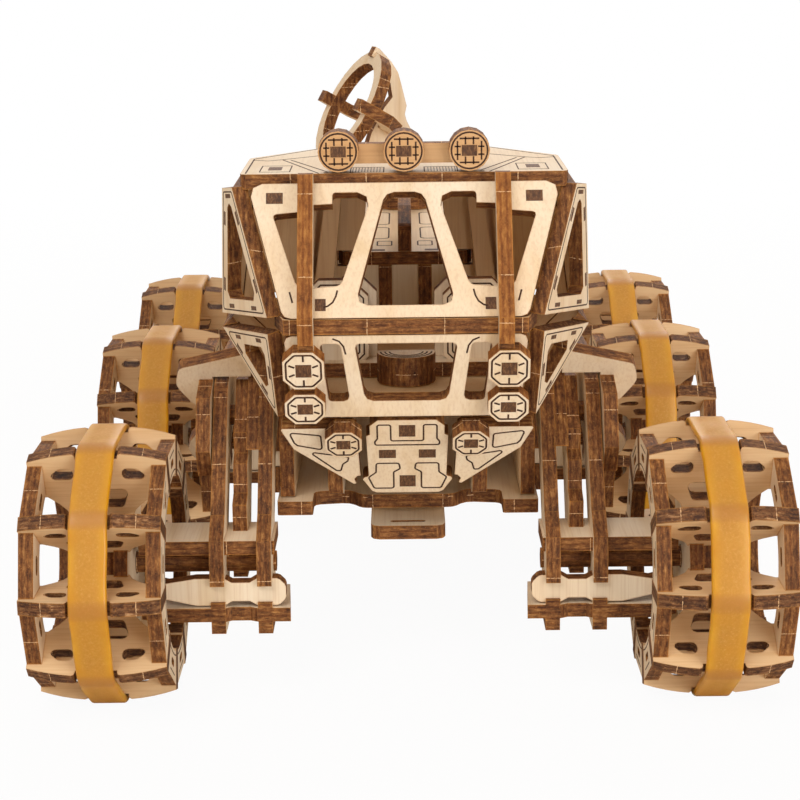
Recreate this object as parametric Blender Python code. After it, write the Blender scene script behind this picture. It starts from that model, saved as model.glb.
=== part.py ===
"""Planetary rover, built as a model kit of interlocking laser-cut plywood plates.

Frame: metres, +Z up, +X to the right as seen from the front, the front faces -Y.
The origin is on the floor under the middle of the model.
Every plate is a flat outline with a thickness. Sizes below are in millimetres.
"""
import bpy
import bmesh
from math import atan2, cos, hypot, pi, radians, sin, tan
from mathutils import Matrix, Vector

MM = 0.001

# Stock
SHEET = 4.0                 # plywood thickness
GAP = 0.3                   # clearance between two pieces that touch

# Running gear
AXLE_ROW = {"front": -114.5, "middle": 17.5, "rear": 114.5}    # Y of each pair of wheels
SLATS = 10                  # planks round one wheel
SLAT_LENGTH = 37.6          # along the axle
SLAT_CREST = 37.8           # radius of a plank's outer edge beside the band
SLAT_FALL = 2.4             # how much lower that edge is at the plank's ends
SLAT_DEPTH = 11.5           # radial depth of a plank at its ends
BAND_WIDTH = 10.7
BAND_RADIUS = 39.5          # corner radius of the rubber band
BAND_THICK = 2.2
HUB_RADIUS = 18.0
HUB_WIDTH = 15.4
AXLE_RADIUS = 3.0
RUNNING_CLEARANCE = 0.3     # between the fixed axle and the hub
AXLE_Z = BAND_RADIUS * cos(pi / SLATS)      # the wheel stands on the band's flat between two planks

# Suspension plates, each in a plane across X, as inner faces
CHASSIS_HALF = 36.0         # outer faces of the chassis side plates
AXLE_ARM = 14.2             # free axle between the outer rocker plate's inner face and the wheel
ROCKER_X = (CHASSIS_HALF + 1.7, CHASSIS_HALF + 14.7)    # the two plates of a rocker
BOGIE_X = (ROCKER_X[0] + SHEET + 0.5, ROCKER_X[1] - SHEET - 0.5)   # those of a bogie, between them
WHEEL_INNER = ROCKER_X[1] + AXLE_ARM        # X of a wheel's inner face
TRACK = 2 * WHEEL_INNER + SLAT_LENGTH       # between the middles of a left and a right wheel
BOGIE_PIVOT = ((AXLE_ROW["middle"] + AXLE_ROW["rear"]) / 2, AXLE_Z + 23.4)     # Y, Z
BODY_PIVOT = (-20.0, AXLE_Z + 34.4)     # Y, Z
PIVOT_RADIUS = 4.0
EYE_RADIUS = 9.0            # round end of a suspension plate
KNUCKLE_REACH = (WHEEL_INNER - 31.0, WHEEL_INNER + 9.3)     # nearest and furthest X of the axle box
KNUCKLE_HEIGHT = 7.8        # of its light front plate
KNUCKLE_DROP = 5.9          # its middle under the axle
LEG_DROP = 17.8             # a leg's foot under the axle

# Chassis
CHASSIS_FRONT = -103.0
CHASSIS_REAR = 128.0
FLOOR_TOP = AXLE_Z + 14.8
FLOOR_HALF = CHASSIS_HALF + 0.8
CHASSIS_TOP = AXLE_Z + 44.3
STEP_TOP = FLOOR_TOP - 6.5
STEP_HALF = 10.5

# Cab, outer faces
RIDGE = (-139.0, AXLE_Z + 73.8)     # Y, Z of the foremost line
RIDGE_HALF = 31.6
BROW = (-119.5, RIDGE[1] + 32.5)    # Y, Z of the windscreen's top
BROW_HALF = 41.2
CHIN_TOP = (-130.6, AXLE_Z + 45.6)  # Y, Z of the lower front plate's bottom edge
CHIN_HALF = RIDGE_HALF - 1.6
NOSE_TOP = (-129.8, CHIN_TOP[1] - 1.3)      # Y, Z of the chin plate's upper edge
NOSE_FOOT = (-115.3, AXLE_Z + 19.8)
ROOF_TOP = BROW[1] + 2.4
ROOF_FRONT = BROW[0] + 1.1
ROOF_HALF = BROW_HALF + 2.1
ROOF_BEND = -83.5           # where the roof's sides turn in
ROOF_REAR = -60.0
ROOF_REAR_HALF = 24.0
WAIST_HALF = BROW_HALF + 9.4        # half width at the waist
WAIST_Z = RIDGE[1] - 5.0            # top face of the waist
SHOULDER = (-104.0, -85.0)  # Y where a side wall starts and ends at the waist
CAB_REAR = -57.0            # rear face of the rear wall
CAB_REAR_HALF = 31.0
CAB_FLOOR_TOP = CHASSIS_TOP + SHEET + 2.3
SILL_HALF = CHIN_HALF + 2.6     # half width at the cab floor

# Rear hull
DECK_TOP = AXLE_Z + 77.3
DECK_FRONT = CAB_REAR - 1.0
HULL_HALF = CHASSIS_HALF - 6.0
DOORWAY_HALF = CAB_REAR_HALF - 9.5      # half width of the rear wall's doorway at the waist
DECK_NOSE_HALF = DOORWAY_HALF - 1.5
HULL_REAR = 116.0
MAST_Y = 36.0
MAST_TOP = DECK_TOP + 23.0
DISH_RADIUS = 20.0
DISH_RIM = 4.5              # width of the dish's ring
DISH_DEPTH = 19.0
DISH_FACING = (-0.811, -0.310, 0.496)
DISH_REACH = 23.0           # from the mast's axis to the middle of the ring

PLY = ("plywood", (0.86, 0.70, 0.47, 1.0), 0.62)
RUBBER = ("amber_rubber", (0.80, 0.44, 0.10, 1.0), 0.45)


def clear_scene():
    for thing in list(bpy.data.objects):
        bpy.data.objects.remove(thing, do_unlink=True)
    PLATES.clear()


def material(finish):
    name, colour, roughness = finish
    made = bpy.data.materials.get(name)
    if made is None:
        made = bpy.data.materials.new(name)
        made.use_nodes = True
        shader = made.node_tree.nodes["Principled BSDF"]
        shader.inputs["Base Color"].default_value = colour
        shader.inputs["Roughness"].default_value = roughness
        shader.inputs["Metallic"].default_value = 0.0
    return made


# Outlines, as lists of (a, b) in a plate's own plane

def rounded(corners, steps=2):
    """Outline from corners (a, b, radius); a corner with a radius becomes an arc."""
    out = []
    for i, (a, b, radius) in enumerate(corners):
        here = Vector((a, b))
        if radius <= 0:
            out.append((a, b))
            continue
        back = (Vector(corners[i - 1][:2]) - here).normalized()
        ahead = (Vector(corners[(i + 1) % len(corners)][:2]) - here).normalized()
        half = back.angle(ahead) / 2
        centre = here + (back + ahead).normalized() * (radius / sin(half))
        start = here + back * (radius / tan(half)) - centre
        end = here + ahead * (radius / tan(half)) - centre
        first = atan2(start.y, start.x)
        sweep = (atan2(end.y, end.x) - first + pi) % (2 * pi) - pi
        for k in range(steps + 1):
            turn = first + sweep * k / steps
            out.append((centre.x + radius * cos(turn), centre.y + radius * sin(turn)))
    return out


def circle(a, b, radius, sides=16, phase=0.0):
    return [(a + radius * cos(phase + 2 * pi * k / sides),
             b + radius * sin(phase + 2 * pi * k / sides)) for k in range(sides)]


def rectangle(a0, b0, a1, b1, radius=0.0):
    return rounded([(a0, b0, radius), (a1, b0, radius), (a1, b1, radius), (a0, b1, radius)])


def mirrored(outline):
    return [(-a, b) for a, b in reversed(outline)]


# Plates and their places

def prism(outer, holes=(), low=0.0, high=SHEET):
    """A flat plate in its own plane, from low to high along the plane's normal."""
    bm = bmesh.new()
    for loop in [outer, *holes]:
        ring = [bm.verts.new((a, b, low)) for a, b in loop]
        for i, corner in enumerate(ring):
            bm.edges.new((ring[i - 1], corner))
    bmesh.ops.triangle_fill(bm, edges=bm.edges[:], use_beauty=True)
    grown = bmesh.ops.extrude_face_region(bm, geom=bm.faces[:])
    lifted = [g for g in grown["geom"] if isinstance(g, bmesh.types.BMVert)]
    bmesh.ops.translate(bm, verts=lifted, vec=(0, 0, high - low))
    bmesh.ops.recalc_face_normals(bm, faces=bm.faces[:])
    return bm


def plane(origin, across, up):
    """Matrix that carries a plate's (a, b, normal) to the model, in millimetres."""
    a = Vector(across).normalized()
    n = a.cross(Vector(up)).normalized()
    b = n.cross(a)
    turn = Matrix((a, b, n)).transposed().to_4x4()
    return Matrix.Translation(Vector(origin)) @ turn


LEVEL = plane((0, 0, 0), (1, 0, 0), (0, 1, 0))      # a = X, b = Y, normal = +Z
UPRIGHT = plane((0, 0, 0), (1, 0, 0), (0, 0, 1))    # a = X, b = Z, normal = -Y
SIDE = plane((0, 0, 0), (0, 1, 0), (0, 0, 1))       # a = Y, b = Z, normal = +X


def placed(bm, place):
    bm.transform(Matrix.Scale(MM, 4) @ place)
    return bm


def side_plate(outer, x0, holes=(), thick=SHEET):
    return placed(prism(outer, holes, x0, x0 + thick), SIDE)


def level_plate(outer, z0, holes=(), thick=SHEET):
    return placed(prism(outer, holes, z0, z0 + thick), LEVEL)


def upright_plate(outer, y0, holes=(), thick=SHEET):
    """Plate across X and Z, whose front face is at y0."""
    return placed(prism(outer, holes, -y0 - thick, -y0), UPRIGHT)


def rod(start, end, radius, sides=12):
    """A round bar between two points."""
    along = Vector(end) - Vector(start)
    helper = Vector((0, 0, 1)) if abs(along.normalized().z) < 0.9 else Vector((0, 1, 0))
    across = helper.cross(along).normalized()
    place = plane(start, across, along.cross(across))
    return placed(prism(circle(0, 0, radius, sides), low=0.0, high=along.length), place)


def room_for(bm):
    """A copy grown by the clearance on every face, to cut a neighbour with."""
    copy = bm.copy()
    copy.normal_update()
    for corner in copy.verts:
        corner.co += corner.normal * (corner.calc_shell_factor() * GAP * MM)
    return copy


# Nodes

def mesh_of(bm, name):
    mesh = bpy.data.meshes.new(name)
    bm.to_mesh(mesh)
    bm.free()
    return mesh


def boolean(target, tool_meshes, operation):
    """The target mesh with the others united to it, or cut out of it."""
    group = bpy.data.collections.new("tools")
    bpy.context.scene.collection.children.link(group)
    body = bpy.data.objects.new("body", target)
    bpy.context.scene.collection.objects.link(body)
    tools = []
    for mesh in tool_meshes:
        tool = bpy.data.objects.new("tool", mesh)
        group.objects.link(tool)
        tools.append(tool)
    modifier = body.modifiers.new("shape", "BOOLEAN")
    modifier.operation = operation
    modifier.solver = "EXACT"
    modifier.operand_type = "COLLECTION"
    modifier.collection = group
    bpy.context.view_layer.update()
    graph = bpy.context.evaluated_depsgraph_get()
    result = bpy.data.meshes.new_from_object(body.evaluated_get(graph), depsgraph=graph)
    for tool in tools + [body]:
        bpy.data.objects.remove(tool, do_unlink=True)
    bpy.data.collections.remove(group)
    return result


def tidy(mesh):
    """Merges the flat faces that a union leaves in pieces."""
    bm = bmesh.new()
    bm.from_mesh(mesh)
    bmesh.ops.remove_doubles(bm, verts=bm.verts[:], dist=0.00001)
    bmesh.ops.dissolve_limit(bm, angle_limit=radians(0.4), verts=bm.verts[:], edges=bm.edges[:],
                             use_dissolve_boundaries=False)
    bm.to_mesh(mesh)
    bm.free()
    return mesh


def fused(plates, cuts=()):
    """One closed mesh from plates that cross or lie on each other."""
    meshes = [mesh_of(p, "plate") for p in plates]
    whole = meshes[0]
    if len(meshes) > 1:
        whole = boolean(whole, meshes[1:], "UNION")
    if cuts:
        whole = boolean(whole, [mesh_of(c, "cut") for c in cuts], "DIFFERENCE")
    return tidy(whole)


PLATES = {}     # the plates of each piece made so far, to trim later ones by


def node(name, mesh, finish=PLY, axis=None):
    """One named piece; a turning piece has its origin on its axis."""
    mesh.name = name
    mesh.materials.clear()
    mesh.materials.append(material(finish))
    thing = bpy.data.objects.new(name, mesh)
    bpy.context.scene.collection.objects.link(thing)
    if axis is not None:
        point = Vector(axis) * MM
        mesh.transform(Matrix.Translation(-point))
        thing.location = point
    return thing


def flipped(bm):
    """The same plate on the model's other side."""
    copy = bm.copy()
    copy.transform(Matrix.Scale(-1, 4, (1, 0, 0)))
    bmesh.ops.reverse_faces(copy, faces=copy.faces[:])
    return copy


def piece(name, plates, trimmed_by=()):
    """A node on the middle line, cut back from the plates of the pieces named."""
    node(name, shaped(name, plates, trimmed_by))


def pair(name, plates, trimmed_by=()):
    """A node on the right side, and its mirror image on the left."""
    right = shaped(name, plates, trimmed_by)
    PLATES[name] += [flipped(plate) for plate in PLATES[name]]
    left = right.copy()
    left.transform(Matrix.Scale(-1, 4, (1, 0, 0)))
    left.flip_normals()
    node(name + "_right", right)
    node(name + "_left", left)


def shaped(name, plates, trimmed_by):
    PLATES[name] = [plate.copy() for plate in plates]
    return fused(plates, [room_for(plate) for other in trimmed_by for plate in PLATES[other]])


# Wheels

def wheel_cage_mesh():
    """Planks in planes through the axle, two end rings and a stacked hub."""
    half = SLAT_LENGTH / 2
    ring_inner = half - SHEET
    notch_half = BAND_WIDTH / 2 + GAP
    notch_radius = BAND_RADIUS - BAND_THICK - SHEET / 2 * tan(pi / SLATS) - GAP
    end_radius = SLAT_CREST - SLAT_FALL
    foot = end_radius - SLAT_DEPTH
    hub_half = HUB_WIDTH / 2
    right = [(notch_half, notch_radius), (notch_half, SLAT_CREST), (half, end_radius), (half, foot),
             (ring_inner - 1.0, foot), (hub_half - 1.0, HUB_RADIUS - 2.0)]
    plank = right + [(-a, b) for a, b in reversed(right)]
    parts = []
    for k in range(SLATS):
        turn = radians(360 / SLATS * (k + 0.5))
        outward = (0, sin(turn), cos(turn))
        place = plane((0, 0, 0), (1, 0, 0), outward)
        parts.append(placed(prism(plank, low=-SHEET / 2, high=SHEET / 2), place))
    rim_corner = end_radius - 0.6
    hole = [circle(0, 0, foot + 0.9, 16, pi / 16)]
    rim = circle(0, 0, rim_corner, SLATS, pi / 2 + pi / SLATS)
    for x0 in (-half, ring_inner):
        parts.append(side_plate(rim, x0, hole))
    hub = circle(0, 0, HUB_RADIUS, SLATS, pi / 2 + pi / SLATS)
    bore = [circle(0, 0, AXLE_RADIUS + RUNNING_CLEARANCE, 8)]
    parts.append(side_plate(hub, -hub_half, bore, HUB_WIDTH))
    return fused([parts[-1]] + parts[:-1])


def band_mesh():
    """A flat rubber band stretched round the planks, straight between them."""
    def ring(radius):
        corners = []
        for k in range(SLATS):
            turn = radians(90 + 360 / SLATS * (k + 0.5))
            corners.append((radius * cos(turn), radius * sin(turn), 5.0))
        return rounded(corners, 1)
    outer = ring(BAND_RADIUS)
    inner = ring(BAND_RADIUS - BAND_THICK)
    return mesh_of(side_plate(outer, -BAND_WIDTH / 2, [inner], BAND_WIDTH), "band")


def wheels():
    cage = wheel_cage_mesh()
    band = band_mesh()
    for row, y in AXLE_ROW.items():
        for side, sign in (("right", 1), ("left", -1)):
            centre = Vector((sign * TRACK / 2, y, AXLE_Z)) * MM
            hub = bpy.data.objects.new("axis_" + row + "_" + side, None)
            hub.location = centre
            bpy.context.scene.collection.objects.link(hub)
            for name, mesh, finish in (("wheel", cage, PLY), ("band", band, RUBBER)):
                copy = mesh.copy()
                piece = node(name + "_" + row + "_" + side, copy, finish)
                piece.parent = hub


# Suspension

def axle_box(y):
    """The light wavy front plate, the plates above and below it, and the axle."""
    z = AXLE_Z
    near, far = KNUCKLE_REACH
    front = y - 9.0
    low = z - KNUCKLE_DROP - KNUCKLE_HEIGHT / 2
    high = low + KNUCKLE_HEIGHT
    dip = 1.2
    waves = [(near, low + 2.0, 1.2), (near + 2.0, low, 1.2), (near + 8, low, 0), (near + 10, low + dip, 0),
             (near + 15, low + dip, 0), (near + 17, low, 0), (near + 25, low, 0), (far, low + 3 * dip, 0),
             (far, high - 2 * dip, 0), (near + 25, high, 0), (near + 17, high, 0),
             (near + 15, high - dip, 0),
             (near + 10, high - dip, 0), (near + 8, high, 0), (near + 2.0, high, 1.2),
             (near, high - 2.0, 1.2)]
    parts = [upright_plate(rounded(waves, 1), front, thick=SHEET)]
    box = [(near - 1.2, front - 1.0), (near + 8, front - 1.0), (near + 10, front), (near + 15, front),
           (near + 17, front - 1.0), (far - 6, front - 1.0), (far, front + 1.5), (far, y + 9.0),
           (near, y + 9.0)]
    parts.append(level_plate(box, low - SHEET - 0.5))
    box_top = [(near + 3.0, front + 1.0), (far, front + 1.0), (far, y + 9.0), (near + 3.0, y + 9.0)]
    parts.append(level_plate(box_top, z + 4.5))
    parts.append(rod((near + 3, y, z), (TRACK / 2 + HUB_WIDTH / 2 + 3, y, z), AXLE_RADIUS, 8))
    return parts


def leg_notch(y):
    """Front edge of a leg where the light plate crosses it."""
    low = AXLE_Z - KNUCKLE_DROP - KNUCKLE_HEIGHT / 2
    high = low + KNUCKLE_HEIGHT
    high, low = high - 1.0, low + 1.0
    return [(y - 10.0, high, 0), (y - 7.0, high, 0), (y - 7.0, low, 0), (y - 10.0, low, 0)]


def rocker_outline():
    """Front leg leaning back from the axle box, then a beam to the bogie's pivot."""
    y = AXLE_ROW["front"]
    z = AXLE_Z
    py, pz = BOGIE_PIVOT
    by, bz = BODY_PIVOT
    foot = z - LEG_DROP
    return rounded([
        (y - 10.0, foot, 0), (y + 4.0, foot, 0), (y + 7.0, z + 8.0, 4),
        (y + 21.0, z + 28.0, 8), (y + 47.0, z + 36.0, 8), (by + 2, bz - 13, 12),
        (py - 2, pz - EYE_RADIUS - 1.0, 8), (py + EYE_RADIUS + 1.0, pz - 8.0, 6),
        (py + EYE_RADIUS - 1.0, pz + EYE_RADIUS, 8), (by + 12, bz + 12, 10),
        (y + 30.0, z + 50.0, 4), (y + 19.0, z + 45.0, 5), (y - 7.0, z + 8.0, 6)] + leg_notch(y), 1)


def bogie_outline():
    """Arch over two axle boxes with its pivot at the crown."""
    front, rear = AXLE_ROW["middle"], AXLE_ROW["rear"]
    z = AXLE_Z
    py, pz = BOGIE_PIVOT
    return rounded([
        (front - 10.0, z - LEG_DROP, 0), (front + 4.0, z - LEG_DROP, 0), (front + 9.0, z + 4.0, 4),
        (py - 18.0, pz - 9.0, 8), (py + 18.0, pz - 9.0, 8), (rear - 9.0, z + 4.0, 4),
        (rear - 5.0, z - LEG_DROP, 0), (rear + 6.5, z - LEG_DROP, 0), (rear + 8.0, z + 12.0, 8),
        (py + 14.0, pz + 11.0, 12), (py - 14.0, pz + 11.0, 12), (front - 8.0, z + 12.0, 8),
         *leg_notch(front)], 1)


def leaning_plate(x, y, z, outline):
    """Plate over the leg, square to the leg's lean."""
    lean = radians(29)
    place = plane((x, y, z), (1, 0, 0), (0, -sin(lean), cos(lean)))
    return placed(prism(rounded(outline, 2)), place)


def suspension():
    z = AXLE_Z
    front = AXLE_ROW["front"]
    rocker = rocker_outline()
    parts = [side_plate(rocker, x) for x in ROCKER_X]
    parts += axle_box(front)
    outer = rounded([(front + 10, z + 22, 0), (front + 20, z + 20, 0), (front + 46, z + 45, 0),
                     (front + 30, z + 49, 0), (front + 12, z + 44, 0), (front + 6, z + 30, 0)], 1)
    parts.append(side_plate(outer, ROCKER_X[1] + SHEET + 0.4))
    inner = [(front - 2, z - 4), (front + 8, z - 4), (front + 24, z + 24), (front + 44, z + 44),
             (front + 26, z + 46), (front + 17, z + 36), (front + 12, z + 34),
             (front + 12, z + 28), (front + 8, z + 26),
             (front + 6, z + 18), (front + 1, z + 16), (front + 1, z + 8), (front - 2, z + 6)]
    parts.append(side_plate(inner, ROCKER_X[0] + SHEET + 3.2))
    gusset = [(front + 8, z + 30), (front + 18, z + 30), (front + 40, z + 46), (front + 24, z + 48)]
    parts.append(side_plate(gusset, ROCKER_X[0] + SHEET - 0.5))
    parts.append(rod((ROCKER_X[0] + 1, front + 24, z + 36), (ROCKER_X[1] + 8, front + 24, z + 36), 3.0, 8))
    guard_x = ROCKER_X[1] + 1.6
    parts.append(leaning_plate(guard_x, front + 28.5, z + 44.3,
                               [(-8.0, 6.2, 0), (3.0, 6.2, 0), (3.0, -5.6, 0), (8.6, -5.6, 4), (13.9, 3.0, 5),
                                (12.4, 9.4, 2), (-8.0, 15.0, 0)]))
    parts.append(leaning_plate(guard_x + 2.0, front + 30.5, z + 24.3,
                               [(-3.0, -3.4, 0), (5.0, -3.4, 5), (10.2, 4.0, 5), (5.0, 11.4, 5),
                                (-3.0, 11.4, 0)]))
    pin_end = ROCKER_X[1] + SHEET + 2.0
    pin = rod((CHASSIS_HALF - SHEET - 1.0, *BODY_PIVOT), (pin_end, *BODY_PIVOT), PIVOT_RADIUS, 10)
    rear_pin = rod((ROCKER_X[0] - 1.2, *BOGIE_PIVOT), (pin_end, *BOGIE_PIVOT), PIVOT_RADIUS, 10)
    pair("rocker", parts + [pin, rear_pin])
    parts = []
    eye = [circle(*BOGIE_PIVOT, PIVOT_RADIUS + GAP, 10)]
    for x in BOGIE_X:
        parts.append(side_plate(bogie_outline(), x, eye))
    for row in ("middle", "rear"):
        parts += axle_box(AXLE_ROW[row])
    pair("bogie", parts)


# Chassis

def chassis():
    pin_hole = [circle(*BODY_PIVOT, PIVOT_RADIUS + GAP, 10)]
    low = FLOOR_TOP + GAP
    outline = rounded([
        (CHASSIS_FRONT, low, 0), (CHASSIS_REAR, low, 6), (CHASSIS_REAR, CHASSIS_TOP - 12, 6),
        (CHASSIS_REAR - 14, CHASSIS_TOP, 6), (CHASSIS_FRONT + 14, CHASSIS_TOP + 2, 6),
        (CHASSIS_FRONT, CHASSIS_TOP - 12, 4)])
    pair("chassis_side", [side_plate(outline, CHASSIS_HALF - SHEET, pin_hole)])
    foot, middle, recess = CHASSIS_FRONT - 4.0, CHASSIS_FRONT + 2.0, CHASSIS_FRONT + 7.0
    right = [(FLOOR_HALF, foot, 0.6), (FLOOR_HALF - 10.0, foot, 0.6), (FLOOR_HALF - 10.0, recess - 1.5, 2),
             (16.5, recess, 4), (13.0, middle, 3)]
    left = [(-a, b, r) for a, b, r in reversed(right)]
    outline = rounded([(FLOOR_HALF, CHASSIS_REAR - 4, 2), (-FLOOR_HALF, CHASSIS_REAR - 4, 2)] + left[::-1]
                      + right[::-1])
    piece("chassis_floor", [level_plate(outline, FLOOR_TOP - SHEET)])
    reach = CHASSIS_FRONT - 7.0
    step = rounded([(-STEP_HALF, reach, 2.5), (STEP_HALF, reach, 2.5), (STEP_HALF, middle + 30, 0),
                    (-STEP_HALF, middle + 30, 0)])
    slot = rectangle(-5.0, reach + 3.5, 5.0, reach + 5.0, 0.7)
    riser = level_plate(rectangle(-STEP_HALF + 1, middle + 10, STEP_HALF - 1, middle + 29), STEP_TOP - 1.0,
                        thick=FLOOR_TOP - SHEET - GAP - STEP_TOP + 1.0)
    piece("step_plate", [level_plate(step, STEP_TOP - SHEET, [slot]), riser])


# Cab

def slope(foot, head):
    """Unit direction up a front panel in the Y, Z plane."""
    run, rise = head[0] - foot[0], head[1] - foot[1]
    size = hypot(run, rise)
    return run / size, rise / size, size


def front_plane(foot, head):
    run, rise, _ = slope(foot, head)
    return plane((0, foot[0], foot[1]), (1, 0, 0), (0, run, rise))


def flattened(points):
    """The outline and place of a panel from its outer corners, given anticlockwise from outside."""
    p = [Vector(q) for q in points]
    across = (p[1] - p[0]).normalized()
    normal = across.cross(p[-1] - p[0]).normalized()
    up = normal.cross(across)
    flat = [((q - p[0]).dot(across), (q - p[0]).dot(up)) for q in p]
    return flat, plane(p[0], across, up)


def inset_loop(flat, margin):
    """The same outline pulled in by a margin on every side."""
    out = []
    count = len(flat)
    for i in range(count):
        here = Vector(flat[i])
        back = (here - Vector(flat[i - 1])).normalized()
        ahead = (Vector(flat[(i + 1) % count]) - here).normalized()
        n1 = Vector((-back.y, back.x))
        n2 = Vector((-ahead.y, ahead.x))
        bend = 1 + n1.dot(n2)
        out.append(tuple(here + (n1 + n2) * (margin / max(bend, 0.2))))
    return out


def wall_panel(points, frame):
    """A panel with its outer face on the points. Its window leaves a frame of one width; 0 is no window."""
    flat, place = flattened(points)
    holes = [rounded([(a, b, 1.5) for a, b in inset_loop(flat, frame)], 1)] if frame else []
    return placed(prism(flat, holes, -SHEET, 0.0), place)


def windscreen():
    """Upper front panel: an upside-down trapezoid with three windows."""
    place = front_plane(RIDGE, BROW)
    size = slope(RIDGE, BROW)[2]
    outline = rounded([(-RIDGE_HALF, GAP, 2.5), (RIDGE_HALF, GAP, 2.5), (BROW_HALF, size, 3),
                       (-BROW_HALF, size, 3)])
    sill, head = 3.7, size - 2.7
    foot, far, step, near = RIDGE_HALF - 3.6, BROW_HALF - 6.6, BROW_HALF - 13.2, BROW_HALF - 22.3
    middle = rounded([(-13.1, sill, 2.5), (13.1, sill, 2.5), (5.0, head, 3), (-5.0, head, 3)])
    right = rounded([(16.7, 9.1, 2), (foot, 8.3, 2.5), (far, head - 6.0, 0.8), (step, head - 5.4, 0),
                     (step, head - 3.6, 0), (near, head - 3.2, 0), (near, head, 0.8), (8.2, head, 3)])
    return [placed(prism(outline, [middle, right, mirrored(right)], -SHEET, 0.0), place)]


def lower_front():
    """Lower front panel under the ridge with a wide and two narrow windows."""
    place = front_plane(CHIN_TOP, (RIDGE[0], RIDGE[1] - SHEET - GAP))
    size = slope(CHIN_TOP, (RIDGE[0], RIDGE[1] - SHEET - GAP))[2]
    outline = rounded([(-CHIN_HALF, 0, 3), (CHIN_HALF, 0, 3), (RIDGE_HALF, size, 2), (-RIDGE_HALF, size, 2)])
    head = size - 2.5
    middle = rounded([(-10.9, 5.0, 2.5), (10.9, 5.0, 2.5), (13.4, head, 1.2), (-13.4, head, 1.2)])
    right = rounded([(14.9, 5.0, 1.5), (20.5, 5.0, 1), (22.4, size - 2.5, 1), (17.0, size - 2.5, 1.2)])
    return [placed(prism(outline, [middle, right, mirrored(right)], -SHEET, 0.0), place)]


def ledge():
    """Level plate between the two front panels, its dark edge showing."""
    depth = 12.0
    front = RIDGE[0] - 0.4
    outline = [(-RIDGE_HALF, front), (RIDGE_HALF, front), (RIDGE_HALF + 3, front + depth),
               (-RIDGE_HALF - 3, front + depth)]
    inner = RIDGE_HALF - 7.6
    hollow = rectangle(-inner, front + 4.9, inner, front + depth - 2.5)
    return [level_plate(outline, RIDGE[1] - SHEET, [hollow])]


def cab_corners():
    """Outer corner points of the cab's right side, from its front, waist and roof lines."""
    out = SHEET + GAP       # the front corner panels stand outside the front plates' ends
    low_z = WAIST_Z - SHEET
    return {
        "ridge": (RIDGE_HALF + out, RIDGE[0] + 2.6, RIDGE[1]),
        "ridge_low": (RIDGE_HALF + out, RIDGE[0] + 2.6, RIDGE[1] - SHEET - GAP),
        "brow": (BROW_HALF + out, BROW[0] + 1.0, BROW[1] - 1.0),
        "chin": (CHIN_HALF + out, CHIN_TOP[0] + 1.0, CHIN_TOP[1]),
        "waist": (WAIST_HALF, SHOULDER[0], WAIST_Z),
        "waist_low": (WAIST_HALF, SHOULDER[0], low_z),
        "hip": (WAIST_HALF, SHOULDER[1], WAIST_Z),
        "hip_low": (WAIST_HALF, SHOULDER[1], low_z),
        "eave": (ROOF_HALF + 2.6, SHOULDER[0] - 6.0, ROOF_TOP - SHEET - GAP),
        "eave_rear": (ROOF_HALF + 2.6, SHOULDER[1] + 1.0, ROOF_TOP - SHEET - GAP),
        "tail": (CAB_REAR_HALF, CAB_REAR, WAIST_Z),
        "tail_low": (CAB_REAR_HALF, CAB_REAR, low_z),
        "tail_top": (ROOF_REAR_HALF + 1.0, CAB_REAR - 4.0, ROOF_TOP - SHEET - GAP),
        "sill": (SILL_HALF, CHIN_TOP[0] + 6.0, CAB_FLOOR_TOP - SHEET),
        "sill_hip": (SILL_HALF, SHOULDER[1], CAB_FLOOR_TOP - SHEET),
        "sill_tail": (CAB_REAR_HALF - 12.0, CAB_REAR, CAB_FLOOR_TOP - SHEET),
    }


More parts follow.
